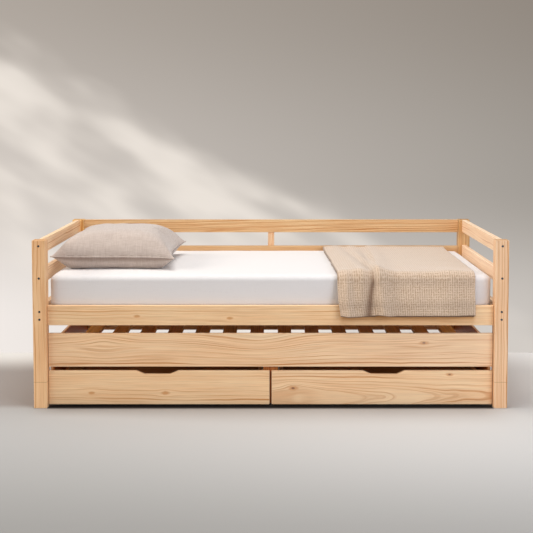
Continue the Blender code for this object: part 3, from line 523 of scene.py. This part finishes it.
def buildWovenCloth():
    tree, given, result = newGroup(
        "wovenCloth",
        (
            ("Vector", "Vector", (0, 0, 0)),
            ("Thread", "Float", 0.0012),
            ("Slub", "Float", 0.5),
        ),
        (("Height", "Float"), ("Slubs", "Float")),
    )
    x, y = split(tree, given["Vector"])[:2]
    turns = compute(tree, "DIVIDE", math.pi, given["Thread"])
    warp = compute(tree, "SINE", times(tree, x, turns))
    weft = compute(tree, "SINE", times(tree, y, turns))
    over = times(tree, warp, weft)
    slubX = noiseOf(tree, given["Vector"], (380, 20, 22), 2.0, 0.6)
    slubY = noiseOf(tree, given["Vector"], (20, 380, 380), 2.0, 0.6)
    slubs = times(tree, compute(tree, "ADD", slubX, slubY), 0.5)
    height = compute(tree, "MULTIPLY_ADD", over, 0.25, times(tree, slubs, given["Slub"]))
    connect(tree, result["Height"], height)
    connect(tree, result["Slubs"], slubs)
    return tree


wovenCloth = buildWovenCloth()


def paintShade(tree, colour, paintedShade, strength):  # painted shade, as strong as a piece's own attribute says: in the cloth's folds, under its edges and along seams
    depth = addNode(tree, "Attribute", attribute_name=paintedShade).outputs["Fac"]
    return mixColour(tree, times(tree, depth, strength), colour, "5a3519")


def finishCloth(shader, sheen, gloss):
    shader.inputs["Sheen Weight"].default_value = sheen
    shader.inputs["Sheen Roughness"].default_value = 0.5
    shader.inputs["Specular IOR Level"].default_value = gloss


def clothMaterial(name, look):
    material, tree, shader = newMaterial(name)
    inputs = {"Vector": objectPlace(tree), "Thread": look["thread"], "Slub": look["slub"]}
    weave = useGroup(tree, wovenCloth, inputs)
    worn = noiseOf(tree, objectPlace(tree), (5, 5, 5), 2.0)
    colour = mixColour(tree, remap(tree, weave["Slubs"], *look["contrast"]), look["dark"], look["pale"])
    colour = mixColour(tree, remap(tree, worn, 0.3, 0.7, 0.0, 0.12), colour, look["pale"])
    if "paintedShade" in look:
        colour = paintShade(tree, colour, look["paintedShade"], 0.5)
    roughness = (look["roughness"] - 0.05, look["roughness"] + 0.05)
    paint(tree, shader, colour, weave["Slubs"], roughness)
    finishCloth(shader, look["sheen"], 0.25)
    addBump(tree, shader, weave["Height"], look["bump"])
    return material


def newPiece(name, shape, body="bed_frame"):
    piece = addObject(name, shape)
    shadeSmooth(piece.data)
    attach(piece, body)
    return piece


def smoothStep(share):
    share = min(max(share, 0.0), 1.0)
    return share * share * (3 - 2 * share)


# Mattress: a block of foam in a white cotton cover, softly rounded and a little uneven

mattressLook = dict(
    rounding=0.028, cuts=72, unevenness=0.0016, crown=0.0015,
    thread=0.0006, slub=0.3, pale="e7e2e0", dark="ded8d6", roughness=0.86, bump=0.00012, sheen=0.1,
    contrast=(0.2, 0.5),
)


def makeMattress(values):
    low, high = (Vector(corner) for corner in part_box("mattress"))
    centre, half = (low + high) / 2, (high - low) / 2
    shape = bmesh.new()
    bmesh.ops.create_cube(shape, size=2)
    bmesh.ops.subdivide_edges(shape, edges=shape.edges, cuts=values["cuts"], use_grid_fill=True)
    radius = values["rounding"]
    for vertex in shape.verts:
        unit = vertex.co.copy()
        for i in (0, 1):  # closes the rows up towards the sides, where the block rounds off
            unit[i] = math.copysign(abs(unit[i]) ** 0.75, unit[i])
        flat = Vector([unit[i] * half[i] for i in range(3)])
        core = Vector([min(max(flat[i], radius - half[i]), half[i] - radius) for i in range(3)])
        out = flat - core
        if out.length > 0:
            spread = max(abs(c) for c in out)
            flat = core + out.normalized() * spread
        rise = noise.noise(flat * 7) * 0.6 + noise.noise(flat * 19) * 0.25 - 0.7
        flat += out.normalized() * values["unevenness"] * rise
        flat.z -= values["crown"] * (unit.x**4 + unit.y**4) * max(unit.z, 0)
        vertex.co = centre + flat
    mattress = newPiece("mattress_cover", shape)
    dress(mattress, clothMaterial("mattress_cotton", values))
    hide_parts("mattress")


makeMattress(mattressLook)
print("mattress made")


# Cushion: two linen panels sewn together, blown up like a filled cushion, with piping round the seam

pillowLook = dict(
    seamHeight=0.058, crown=0.108, belly=0.092, cornerLift=0.006, frontLift=-0.004, drawIn=0.027,
    underRounding=0.009, grid=64, slack=0.0022, halfWidth=0.29, seamShade=0.0045, seamWeld=0.0002,
    seedGap=0.0005, bedGap=0.0004,
    pressure=4.0, frames=20, mostMove=0.012, pipe=0.0030, pipeSteps=60,
    thread=0.0015, slub=0.9, pale="c9bab0", dark="af9d91", roughness=0.9, bump=0.0004, sheen=0.35,
    contrast=(0.25, 0.72), paintedShade="seamShade",
)
pillowBox = [Vector(corner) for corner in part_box("pillow")]


def pillowPoint(values, u, v, side):
    low, high = pillowBox
    centre, half = (low + high) / 2, (high - low) / 2
    inside = max(0.0, (1 - u**4) * (1 - v**4) ** 0.75)
    bulge = values["crown"] if side > 0 else -values["belly"]
    x = centre.x + u * (half.x - values["drawIn"] * (1 - v**2))
    y = centre.y + v * (half.y - values["drawIn"] * (1 - u**2))
    lift = values["frontLift" if u > 0 and v < 0 else "cornerLift"]
    above = values["seamHeight"] + lift * abs(u * v) ** 3 + bulge * inside**0.62
    if side < 0:  # the underside rounds off onto the bed
        above += (math.hypot(above, values["underRounding"]) - above) / 2 * min(1.0, 3 * inside)
    return Vector((x, y, low.z + max(above, values["seedGap"])))


def inflate(piece, values):
    start = [vertex.co.copy() for vertex in piece.data.vertices]
    air = piece.modifiers.new("air", "CLOTH")
    air.settings.use_pressure = True
    air.settings.uniform_pressure_force = values["pressure"]
    air.settings.effector_weights.gravity = 0
    air.settings.quality = 4
    air.settings.bending_stiffness = 0.4
    for step in range(1, values["frames"] + 1):
        scene.frame_set(step)
    graph = bpy.context.evaluated_depsgraph_get()
    blown = piece.evaluated_get(graph)
    places = [vertex.co.copy() for vertex in blown.data.vertices]
    piece.modifiers.remove(air)
    scene.frame_set(1)
    low, high = pillowBox
    centre, half = (low + high) / 2, (high - low) / 2
    for vertex, old, new in zip(piece.data.vertices, start, places):
        move = new - old
        if move.length > values["mostMove"]:
            move = move.normalized() * values["mostMove"]
        corner = abs((old.x - centre.x) / half.x * (old.y - centre.y) / half.y)
        vertex.co = old + move * (1 - min(corner, 1.0) ** 12)  # the sewn corners stay where they are


def makePillow(values):
    count = values["grid"]
    shape = bmesh.new()
    for side in (1, -1):
        panel = bmesh.new()
        seamShade = panel.verts.layers.float.new("seamShade")
        bmesh.ops.create_grid(panel, x_segments=count, y_segments=count, size=1)
        for vertex in panel.verts:
            u, v = math.sin(vertex.co.x * math.pi / 2), math.sin(vertex.co.y * math.pi / 2)
            point = pillowPoint(values, u, v, side)
            slack = noise.noise(point * 22 + Vector((3, side * 5, 1))) + 0.6 * noise.noise(point * 45)
            point.z += values["slack"] * slack * min(1.0, 6 * (1 - abs(u)) * (1 - abs(v))) * (side > 0)
            vertex.co = point
            # a band of painted shade on the lower panel, just under the piping of the seam
            if side < 0:
                inward = values["halfWidth"] * (1 - max(abs(u), abs(v)))
                vertex[seamShade] = math.exp(-((inward / values["seamShade"]) ** 2))
        if side < 0:
            bmesh.ops.reverse_faces(panel, faces=panel.faces)
        sewn = bpy.data.meshes.new("pillowPanel")
        panel.to_mesh(sewn)
        panel.free()
        shape.from_mesh(sewn)
        bpy.data.meshes.remove(sewn)
    seam = [vertex for vertex in shape.verts if vertex.is_boundary]
    bmesh.ops.remove_doubles(shape, verts=seam, dist=values["seamWeld"])
    pillow = newPiece("pillow_cushion", shape)
    inflate(pillow, values)
    lowest = pillowBox[0].z + values["bedGap"]
    for vertex in pillow.data.vertices:
        vertex.co.z = max(vertex.co.z, lowest)
    rounder = pillow.modifiers.new("rounder", "SUBSURF")
    rounder.levels = rounder.render_levels = 1
    return pillow


def makePiping(values, pillow):
    shell = BVHTree.FromObject(pillow, bpy.context.evaluated_depsgraph_get())
    corners = ((1, -1), (1, 1), (-1, 1), (-1, -1))
    points = []
    steps = values["pipeSteps"]
    for (u0, v0), (u1, v1) in zip(corners, corners[1:] + corners[:1]):
        for i in range(steps):
            share = i / steps
            u, v = u0 + (u1 - u0) * share, v0 + (v1 - v0) * share
            points.append(shell.find_nearest(pillowPoint(values, u, v, 1))[0])
    curve = bpy.data.curves.new("pillowPipe", "CURVE")
    curve.dimensions = "3D"
    line = curve.splines.new("POLY")
    line.points.add(len(points) - 1)
    for knot, point in zip(line.points, points):
        knot.co = (*point, 1)
    line.use_cyclic_u = True
    curve.bevel_depth = values["pipe"]
    curve.bevel_resolution = 2
    guide = bpy.data.objects.new("pillowPipe", curve)
    scene.collection.objects.link(guide)
    mesh = bpy.data.meshes.new_from_object(guide.evaluated_get(bpy.context.evaluated_depsgraph_get()))
    bpy.data.objects.remove(guide)
    shape = bmesh.new()
    shape.from_mesh(mesh)
    return newPiece("pillow_piping", shape)


pillow = makePillow(pillowLook)
piping = makePiping(pillowLook, pillow)
linen = clothMaterial("pillow_linen_cloth", pillowLook)
for piece in (pillow, piping):
    dress(piece, linen)
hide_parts("pillow")
print("cushion made")


# Throw: waffle cloth, folded double, laid over the mattress and hanging down its front

throwLook = dict(
    cell=0.0105, waffle=0.0009, thickness=0.011,
    right=0.923, leftBack=0.277, leftBend=0.300, leftHem=0.311, backY=0.444, bendY=-0.422, railY=-0.4778,
    topZ=0.5991, bendRadius=0.0288, railTopZ=0.465, hemZ=0.4178,
    topEnd=0.153, turnStart=0.22, turnLength=0.1,  # measured back from the hem
    foldDepth=0.031, wrinkle=0.017, hollowSpread=0.7, edgeWander=0.004, rightDraw=0.005,
    backLift=0.005, backReach=0.025,
    flare=0.005, foldFlare=0.006, foldX=0.42, foldWidth=0.10, flareLength=0.045,
    archX=0.497, archWidth=0.022, archHeight=0.006,
    innerHem=0.0065, innerTop=0.012, innerLeft=0.008, innerRight=0.006, innerBack=0.0035, innerThick=0.003,
    thread=0.002, slub=0.6, pit="a98b70", ridge="d9c0a7", slubTone="cfb8a2", patch="cfb7a2", edgeOn="d6c5b5",
    # each ridge: its place at the back, at the bend and at the hem, its width to the left and to the right,
    # and its height on top and hanging
    ridges=(
        (0.318, 0.338, 0.345, 0.030, 0.030, 0.30, 1.05),
        (0.345, 0.410, 0.396, 0.040, 0.034, 0.85, 0.70),
        (0.425, 0.480, 0.490, 0.022, 0.024, 0.75, 0.00),
        (0.520, 0.486, 0.500, 0.016, 0.052, 0.90, 1.05),
        (0.640, 0.620, 0.640, 0.085, 0.085, 0.20, 0.25),
        (0.830, 0.800, 0.790, 0.070, 0.070, 0.30, 0.35),
    ),
    # each hollow between ridges, the same way, but its last two numbers are how strong its painted shade is
    # on top and hanging: the hollows only colour the cloth
    hollows=(
        (0.345, 0.384, 0.384, 0.018, 0.028, 0.03, 0.08),
        (0.372, 0.462, 0.440, 0.0175, 0.0105, 0.17, 0.90),
        (0.470, 0.440, 0.430, 0.026, 0.020, 0.13, 0.00),
        (0.560, 0.545, 0.552, 0.020, 0.040, 0.05, 0.08),
    ),
)


def hump(value, middle, width):
    return math.exp(-(((value - middle) / width) ** 2))


def hemRise(values, x):  # the hem isn't quite level, and arches under the deepest fold
    arch = values["archHeight"] * hump(x, values["archX"], values["archWidth"])
    return arch + 0.0015 * noise.noise(Vector((x * 14, 2, 0)))


def foldsAt(folds, x, top, hang, turn, spread=0.0):
    total = 0.0
    for back, front, hem, wideLeft, wideRight, high, low in folds:
        place = back + (front - back) * top**1.3 + (hem - front) * hang
        wide = (wideLeft if x < place else wideRight) * (1 + spread * (hang - 0.5))
        total += (high + (low - high) * turn) * hump(x, place, wide)
    return total


def throwRuns(values):  # how much of the cloth lies flat, bends over the edge and hangs down
    flat = values["backY"] - values["bendY"]
    bend = values["bendRadius"] * math.pi / 2
    drop = values["topZ"] - values["bendRadius"] - values["hemZ"]
    return flat, bend, drop


def throwPath(values, run):  # y, z, the share hanging and the way out, at a length from the cloth's back edge
    flat, bend, drop = throwRuns(values)
    radius = values["bendRadius"]
    if run <= flat:
        return values["backY"] - run, values["topZ"], 0.0, (0, 1)
    if run <= flat + bend:
        angle = (run - flat) / radius
        y = values["bendY"] - radius * math.sin(angle)
        z = values["topZ"] - radius * (1 - math.cos(angle))
        return y, z, 0.0, (math.sin(angle), math.cos(angle))
    down = run - flat - bend
    bendEnd = values["topZ"] - radius
    face = values["bendY"] - radius
    y = face + (values["railY"] - face) * smoothStep(down / (bendEnd - values["railTopZ"]))
    return y, bendEnd - down, down / drop, (1, 0)


def thicken(piece, thickness):  # the shape is the cloth's outer face, so the thickness goes inward
    layer = piece.modifiers.new("thickness", "SOLIDIFY")
    layer.thickness = thickness
    layer.offset = -1
    return piece


def clothGrid(across, along):
    shape = bmesh.new()
    bmesh.ops.create_grid(shape, x_segments=across, y_segments=along, size=1)
    return shape, shape.loops.layers.uv.new("UVMap"), shape.verts.layers.float.new("paintedShade")


def makeThrow(values):
    length = sum(throwRuns(values))
    step = values["cell"] / 2
    across = round((values["right"] - values["leftBend"]) / step)
    along = round(length / step)
    shape, sheet, paintedShade = clothGrid(across, along)
    places = {}
    for vertex in shape.verts:
        column = round((vertex.co.x + 1) / 2 * across)
        row = round((1 - vertex.co.y) / 2 * along)
        run = length * row / along
        y, z, hang, out = throwPath(values, run)
        top = min(run / (length - values["topEnd"]), 1.0)
        left = values["leftBack"] + (values["leftBend"] - values["leftBack"]) * top
        left += (values["leftHem"] - values["leftBend"]) * hang**1.6
        x = left + (values["right"] - values["rightDraw"] * hang - left) * column / across
        places[vertex] = (column * step, row * step)
        turn = smoothStep((run - (length - values["turnStart"])) / values["turnLength"])
        lift = foldsAt(values["ridges"], x, top, hang, turn)
        reachBack = 0.35 + 0.65 * smoothStep(run / 0.55)
        # painted shade: in the hollows, along the hem's lower edge, and down the cloth's left edge on top
        depth = foldsAt(values["hollows"], x, top, hang, turn, values["hollowSpread"])
        vertex[paintedShade] = min(1.0, depth * reachBack)
        if row == along:
            vertex[paintedShade] = 1.0
        elif column == 0 and hang == 0:
            vertex[paintedShade] = 0.8
        small = noise.noise(Vector((x * 11, y * 8, z * 8))) * 0.18
        reach = values["wrinkle"] + (values["foldDepth"] - values["wrinkle"]) * turn
        lift = max(0.0, lift + small) * reach * reachBack
        lift += values["backLift"] * hump(run, 0, values["backReach"])
        flare = values["flare"] + values["foldFlare"] * hump(x, values["foldX"], values["foldWidth"])
        lift += flare * smoothStep((run - length + values["flareLength"]) / values["flareLength"])
        lift += values["thickness"] + values["waffle"] * max(column % 2 == 0, 0.6 * (row % 2 == 0))
        z += hang * hemRise(values, x)
        wander = values["edgeWander"] * noise.noise(Vector((run * 9, 5, 0)))
        x += wander * (1 if column < across / 2 else 0.6)
        vertex.co = (x, y - out[0] * lift, z + out[1] * lift)
    for face in shape.faces:
        for loop in face.loops:
            loop[sheet].uv = places[loop.vert]
    if sum(face.normal.z for face in shape.faces) < 0:
        bmesh.ops.reverse_faces(shape, faces=shape.faces)
    return thicken(newPiece("throw_cloth", shape), values["thickness"])


def makeInnerHem(values):  # the lower layer of the doubled cloth, all in painted shade, showing as a dark line under the upper one
    shape, sheet, paintedShade = clothGrid(90, 1)
    for vertex in shape.verts:
        left = values["leftHem"] + values["innerLeft"]
        x = left + (values["right"] - values["innerRight"] - left) * (vertex.co.x + 1) / 2
        z = values["hemZ"] + hemRise(values, x)
        z += values["innerTop"] if vertex.co.y > 0 else -values["innerHem"]
        vertex.co = (x, values["railY"] - values["innerBack"], z)
        vertex[paintedShade] = 1.0
    shape.normal_update()
    for face in shape.faces:
        for loop in face.loops:
            loop[sheet].uv = (loop.vert.co.x, loop.vert.co.z)
        if face.normal.y > 0:
            face.normal_flip()
    return thicken(newPiece("throw_inner_hem", shape), values["innerThick"])


def waffleMaterial(values):
    material, tree, shader = newMaterial("throw_waffle")
    place = addNode(tree, "TexCoord").outputs["UV"]
    sides = []
    for axis in split(tree, place)[:2]:
        wave = compute(tree, "COSINE", times(tree, axis, math.pi / values["cell"]))
        sides.append(compute(tree, "ABSOLUTE", wave))
    cell = addNode(tree, "VectorMath", {0: place, 1: (values["cell"],) * 3}, operation="DIVIDE").outputs[0]
    chance = addNode(tree, "TexWhiteNoise", {"Vector": vectorMath(tree, "FLOOR", cell)}).outputs[0]
    crossing = times(tree, sides[1], remap(tree, chance, 0.0, 1.0, 0.45, 0.95, "LINEAR"))
    upright = times(tree, sides[0], remap(tree, chance, 0.0, 1.0, 1.0, 0.7, "LINEAR"))
    wall = compute(tree, "MAXIMUM", upright, crossing)
    patchy = compute(tree, "SUBTRACT", noiseOf(tree, place, (120, 120, 1), 2.0), 0.5)
    wall = remap(tree, compute(tree, "MULTIPLY_ADD", patchy, 1.1, wall), 0.25, 1.05)
    inputs = {"Vector": place, "Thread": values["thread"], "Slub": values["slub"]}
    weave = useGroup(tree, wovenCloth, inputs)
    tone = noiseOf(tree, place, (16, 16, 1), 3.0)
    # the waffle's pits are painted darker, as shade in the recesses
    colour = mixColour(tree, wall, values["pit"], values["ridge"])
    colour = mixColour(tree, remap(tree, weave["Slubs"], 0.35, 0.65, 0.0, 0.25), colour, values["slubTone"])
    colour = mixColour(tree, remap(tree, tone, 0.35, 0.65, 0.0, 0.2), colour, values["patch"])
    flatly = addNode(tree, "LayerWeight", {"Blend": 0.5}).outputs["Facing"]  # seen edge on, the pits and their painted shade hide, so the cloth is painted lighter there, which also stands in for sheen
    colour = mixColour(tree, remap(tree, flatly, 0.08, 0.9, 0.0, 0.5, "LINEAR"), colour, values["edgeOn"])
    colour = paintShade(tree, colour, "paintedShade", 0.8)
    paint(tree, shader, colour, weave["Slubs"], (0.88, 0.98))
    finishCloth(shader, 0.3, 0.2)
    height = compute(tree, "MULTIPLY_ADD", weave["Height"], 0.35, wall)
    addBump(tree, shader, height, 0.0006)
    return material


throw = makeThrow(throwLook)
innerHem = makeInnerHem(throwLook)
waffle = waffleMaterial(throwLook)
for piece in (throw, innerHem):
    dress(piece, waffle)
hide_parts("throw")
print("throw made")


# Steel and wheels

steelLook = dict(
    grain=260, detail=3.0, patches=(0.3, 0.7), base="3c4148", worn="6f747c", roughness=(0.38, 0.53),
    metallic=1.0, bump=0.00005,
)
wheelLook = dict(
    grain=60, detail=4.0, patches=(0.45, 0.75), base="2a2a2b", worn="4a4845", roughness=(0.42, 0.62),
    metallic=0.0, bump=0.0001,
)


def wornMaterial(name, look):
    material, tree, shader = newMaterial(name)
    wear = noiseOf(tree, objectPlace(tree), (look["grain"],) * 3, look["detail"], 0.6)
    colour = mixColour(tree, remap(tree, wear, *look["patches"]), look["base"], look["worn"])
    paint(tree, shader, colour, wear, look["roughness"], (0.3, 0.7))
    shader.inputs["Metallic"].default_value = look["metallic"]
    addBump(tree, shader, wear, look["bump"])
    return material


boltSteel = wornMaterial("bolt_zinc", steelLook)
wheelNylon = wornMaterial("wheel_nylon", wheelLook)
for name, piece in nodes.items():
    if name.startswith("bolt_"):
        dress(piece, boltSteel)
        smoothFaces(piece)
    elif "wheel" in name:
        dress(piece, wheelNylon)
        smoothFaces(piece)
print("steel and wheels dressed")


# Bolt heads on the posts' faces that the front view doesn't show, and screws that hold the trundle's slat mat

fixingLook = dict(
    boltRadius=0.0058, screwRadius=0.004, screwInset=0.022, proud=0.0008, height=0.003,
    boltHeights=(0.734, 0.589, 0.438, 0.403), sideHeights=(0.440, 0.394),
    postX=1.035, postY=0.475, endX=1.065, backY=0.505,
)


def addHead(shape, place, turn, radius, values):  # a round head with a socket, facing along the turned Z axis
    made = bmesh.ops.create_cone(
        shape, cap_ends=True, segments=28, radius1=radius, radius2=radius * 0.9, depth=values["height"])
    faces = {face for vertex in made["verts"] for face in vertex.link_faces}
    top = max((face for face in faces if len(face.verts) > 4), key=lambda face: face.calc_center_median().z)
    bmesh.ops.inset_region(shape, faces=[top], thickness=radius * 0.42)
    bmesh.ops.inset_region(shape, faces=[top], thickness=radius * 0.04, depth=-values["height"] * 0.6)
    head = {vertex for face in faces | {top} if face.is_valid for vertex in face.verts}
    head |= {other for vertex in list(head) for edge in vertex.link_edges for other in edge.verts}
    bmesh.ops.translate(shape, vec=(0, 0, values["proud"] - values["height"] / 2), verts=list(head))
    bmesh.ops.transform(shape, matrix=Matrix.Translation(place) @ turn, verts=list(head))


def makeFixings(values):
    bolts = bmesh.new()
    toBack = Matrix.Rotation(-math.pi / 2, 4, "X")
    for sideX in (-1, 1):
        for z in values["boltHeights"]:
            place = Vector((sideX * values["postX"], values["backY"], z))
            addHead(bolts, place, toBack, values["boltRadius"], values)
        toSide = Matrix.Rotation(sideX * math.pi / 2, 4, "Y")
        for sideY in (-1, 1):
            for z in values["sideHeights"]:
                place = Vector((sideX * values["endX"], sideY * values["postY"], z))
                addHead(bolts, place, toSide, values["boltRadius"], values)
    screws = bmesh.new()
    low, high = (Vector(corner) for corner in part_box("trundle_slats"))
    middle = slatLook["width"] / 2
    for x in (low.x + middle, high.x - middle):
        for y in (low.y + values["screwInset"], high.y - values["screwInset"]):
            addHead(screws, Vector((x, y, high.z)), Matrix(), values["screwRadius"], values)
    for piece in (newPiece("post_bolt_heads", bolts), newPiece("trundle_slat_screws", screws, "trundle")):
        dress(piece, boltSteel)
        piece.modifiers.new("corners", "EDGE_SPLIT").split_angle = math.radians(35)


makeFixings(fixingLook)
print("bolt heads and screws made")


# Floor and wall: pale and softly graded, the grading being painted light and shade. Only the camera sees the
# wall, and only from its front.

floorLook = dict(
    near=("93918e", "9a9793"), middle=("b2b0ae", "cdcac7"), far=("9d9692", "dfdbd7"),
    behind=("e7e4e0", "f8f3ee"), bedShadow="8a827c", under="1c1510",
)
wallLook = dict(
    low=("f2ebe6", "c9c3bd"), middle=("cdc5be", "a39d96"), top=("afa69d", "91887f"), beam="fbf2e8", y=0.62,
    beamFrom=(1.499, 0, -1.747), beamSlope=28.2,
)


def newPlane(name, turn):
    shape = bmesh.new()
    bmesh.ops.create_grid(shape, x_segments=2, y_segments=2, size=9)
    bmesh.ops.transform(shape, matrix=turn, verts=shape.verts)
    return addObject(name, shape)


def makeFloor(look):
    material, tree, shader = newMaterial("studio_floor")
    x, y = split(tree, objectPlace(tree))[:2]
    # Painted light and shade: the floor is lighter to the right, and darker in a band beside the bed, where
    # its shadow falls.
    right = remap(tree, x, -1.2, 1.2)
    colour = mixColour(tree, right, *look["near"])
    for key, begin, end in (("middle", -2.3, -0.8), ("far", -0.52, -0.43), ("behind", 0.15, 0.6)):
        colour = mixColour(tree, remap(tree, y, begin, end), colour, mixColour(tree, right, *look[key]))
    # painted shadow: the soft darkening where the bed's front meets the floor
    away = compute(tree, "ABSOLUTE", x)
    start = remap(tree, x, -1.0, 0.0, -0.66, -0.80)
    bedShadow = times(
        tree, remap(tree, away, 0.9, 1.12, 1.0, 0.1), remap(tree, x, -1.0, 0.8, 0.56, 0.42),
        remap(tree, y, start, -0.5), remap(tree, y, -0.46, -0.36, 1.0, 0.0),
    )
    colour = mixColour(tree, bedShadow, colour, look["bedShadow"])
    # and painted shadow in the dark gap under the drawers
    under = times(
        tree, remap(tree, away, 1.0, 1.01, 1.0, 0.0), remap(tree, y, -0.526, -0.491, 0.0, 0.97),
        remap(tree, y, -0.47, -0.43, 1.0, 0.0),
    )
    colour = mixColour(tree, under, colour, look["under"])
    connect(tree, shader.inputs["Base Color"], colour)
    shader.inputs["Roughness"].default_value = 0.9
    shader.inputs["Specular IOR Level"].default_value = 0.1
    floor = newPlane("studio_floor", Matrix())
    dress(floor, material)


def makeWall(look):
    material, tree, shader = newMaterial("studio_wall")
    x, _, z = split(tree, objectPlace(tree))
    right = remap(tree, x, -1.6, 1.5, kind="LINEAR")
    colour = mixColour(tree, right, *look["low"])
    for key, begin, end in (("middle", 0.15, 0.95), ("top", 0.85, 2.1)):
        colour = mixColour(tree, remap(tree, z, begin, end), colour, mixColour(tree, right, *look[key]))
    # daylight falling across the wall from the upper left, broken up by leaves outside the window
    inputs = {"Vector": objectPlace(tree), "Location": look["beamFrom"]}
    place = addNode(tree, "Mapping", inputs, vector_type="POINT").outputs[0]
    inputs = {"Vector": place, "Rotation": (0, -math.radians(look["beamSlope"]), 0)}
    turned = addNode(tree, "Mapping", inputs).outputs[0]
    along, _, above = split(tree, turned)
    wobble = compute(tree, "SUBTRACT", noiseOf(tree, turned, (1.6, 1, 4), 2.0), 0.42)
    edge = compute(tree, "MULTIPLY_ADD", wobble, -0.34, above)
    leaves = remap(tree, noiseOf(tree, turned, (2.2, 1, 6.0), 1.5, 0.4), 0.24, 0.74)
    beam = times(
        tree, compute(tree, "MULTIPLY_ADD", leaves, 0.6, 0.1), remap(tree, edge, -0.17, 0.04, 1.0, 0.0),
        remap(tree, along, 2.0, 3.0, 1.0, 0.25), remap(tree, above, -1.3, -0.7, 0.0, 1.0),
    )
    colour = mixColour(tree, beam, colour, look["beam"])
    # the wall glows with these colours, painted light and shade, though no lamp lights it
    glow = addNode(tree, "Emission", {"Color": colour, "Strength": 1.0})
    clear = addNode(tree, "BsdfTransparent")
    behind = addNode(tree, "NewGeometry").outputs["Backfacing"]
    both = addNode(tree, "MixShader", {0: behind, 1: glow.outputs[0], 2: clear.outputs[0]})
    tree.nodes.remove(shader)
    connect(tree, tree.nodes["Material Output"].inputs["Surface"], both.outputs[0])
    upright = Matrix.Translation((0, look["y"], 9)) @ Matrix.Rotation(math.pi / 2, 4, "X")
    wall = newPlane("studio_wall", upright)
    dress(wall, material)
    for ray in ("diffuse", "glossy", "shadow", "transmission", "volume_scatter"):
        setattr(wall, "visible_" + ray, False)


makeFloor(floorLook)
makeWall(wallLook)
print("floor and wall made")


# Light and camera

lights = (  # name, place, what it points at, its width in metres, watts and colour
    ("key", (-0.5, -0.45, 4.8), (0, 0, 0.4), 3.0, 136, "fffefc"),
    ("fillRight", (2.6, -3.4, 2.0), (0.3, 0, 0.3), 2.4, 68, "eaf2ff"),
    ("fillLeft", (-3.2, -2.6, 2.0), (0.2, 0, 0.4), 2.0, 26, "fff6ea"),
    ("window", (-9.0, -1.6, 5.6), (0, 0, 0.5), 4.0, 330, "fffaf2"),
)
skyLook = dict(colour="fdfcfb", strength=0.36)
cameraLook = dict(
    lens=70.946, shiftX=-0.01407, shiftY=-0.15, place=(0.0155, -5.1582, 1.3049), lookDown=3.739,
)


def addLight(name, place, target, size, watts, colour):
    light = bpy.data.lights.new(name, "AREA")
    light.shape = "DISK"
    light.size = size
    light.energy = watts
    light.color = srgb(colour)[:3]
    lamp = bpy.data.objects.new(name, light)
    lamp.location = place
    lamp.rotation_euler = (Vector(target) - Vector(place)).to_track_quat("-Z", "Y").to_euler()
    scene.collection.objects.link(lamp)


def addSky(look):
    world = bpy.data.worlds.new("studio")
    world.use_nodes = True
    scene.world = world
    background = world.node_tree.nodes["Background"]
    background.inputs["Color"].default_value = srgb(look["colour"])
    background.inputs["Strength"].default_value = look["strength"]


def addCamera(look):
    camera = bpy.data.cameras.new("camera")
    camera.lens = look["lens"]
    camera.shift_x = look["shiftX"]
    camera.shift_y = look["shiftY"]
    viewer = bpy.data.objects.new("camera", camera)
    viewer.location = look["place"]
    viewer.rotation_euler = (math.radians(90 - look["lookDown"]), 0, 0)
    scene.collection.objects.link(viewer)
    scene.camera = viewer


for light in lights:
    addLight(*light)
addSky(skyLook)
addCamera(cameraLook)
scene.view_settings.view_transform = "Standard"
print("light and camera set")
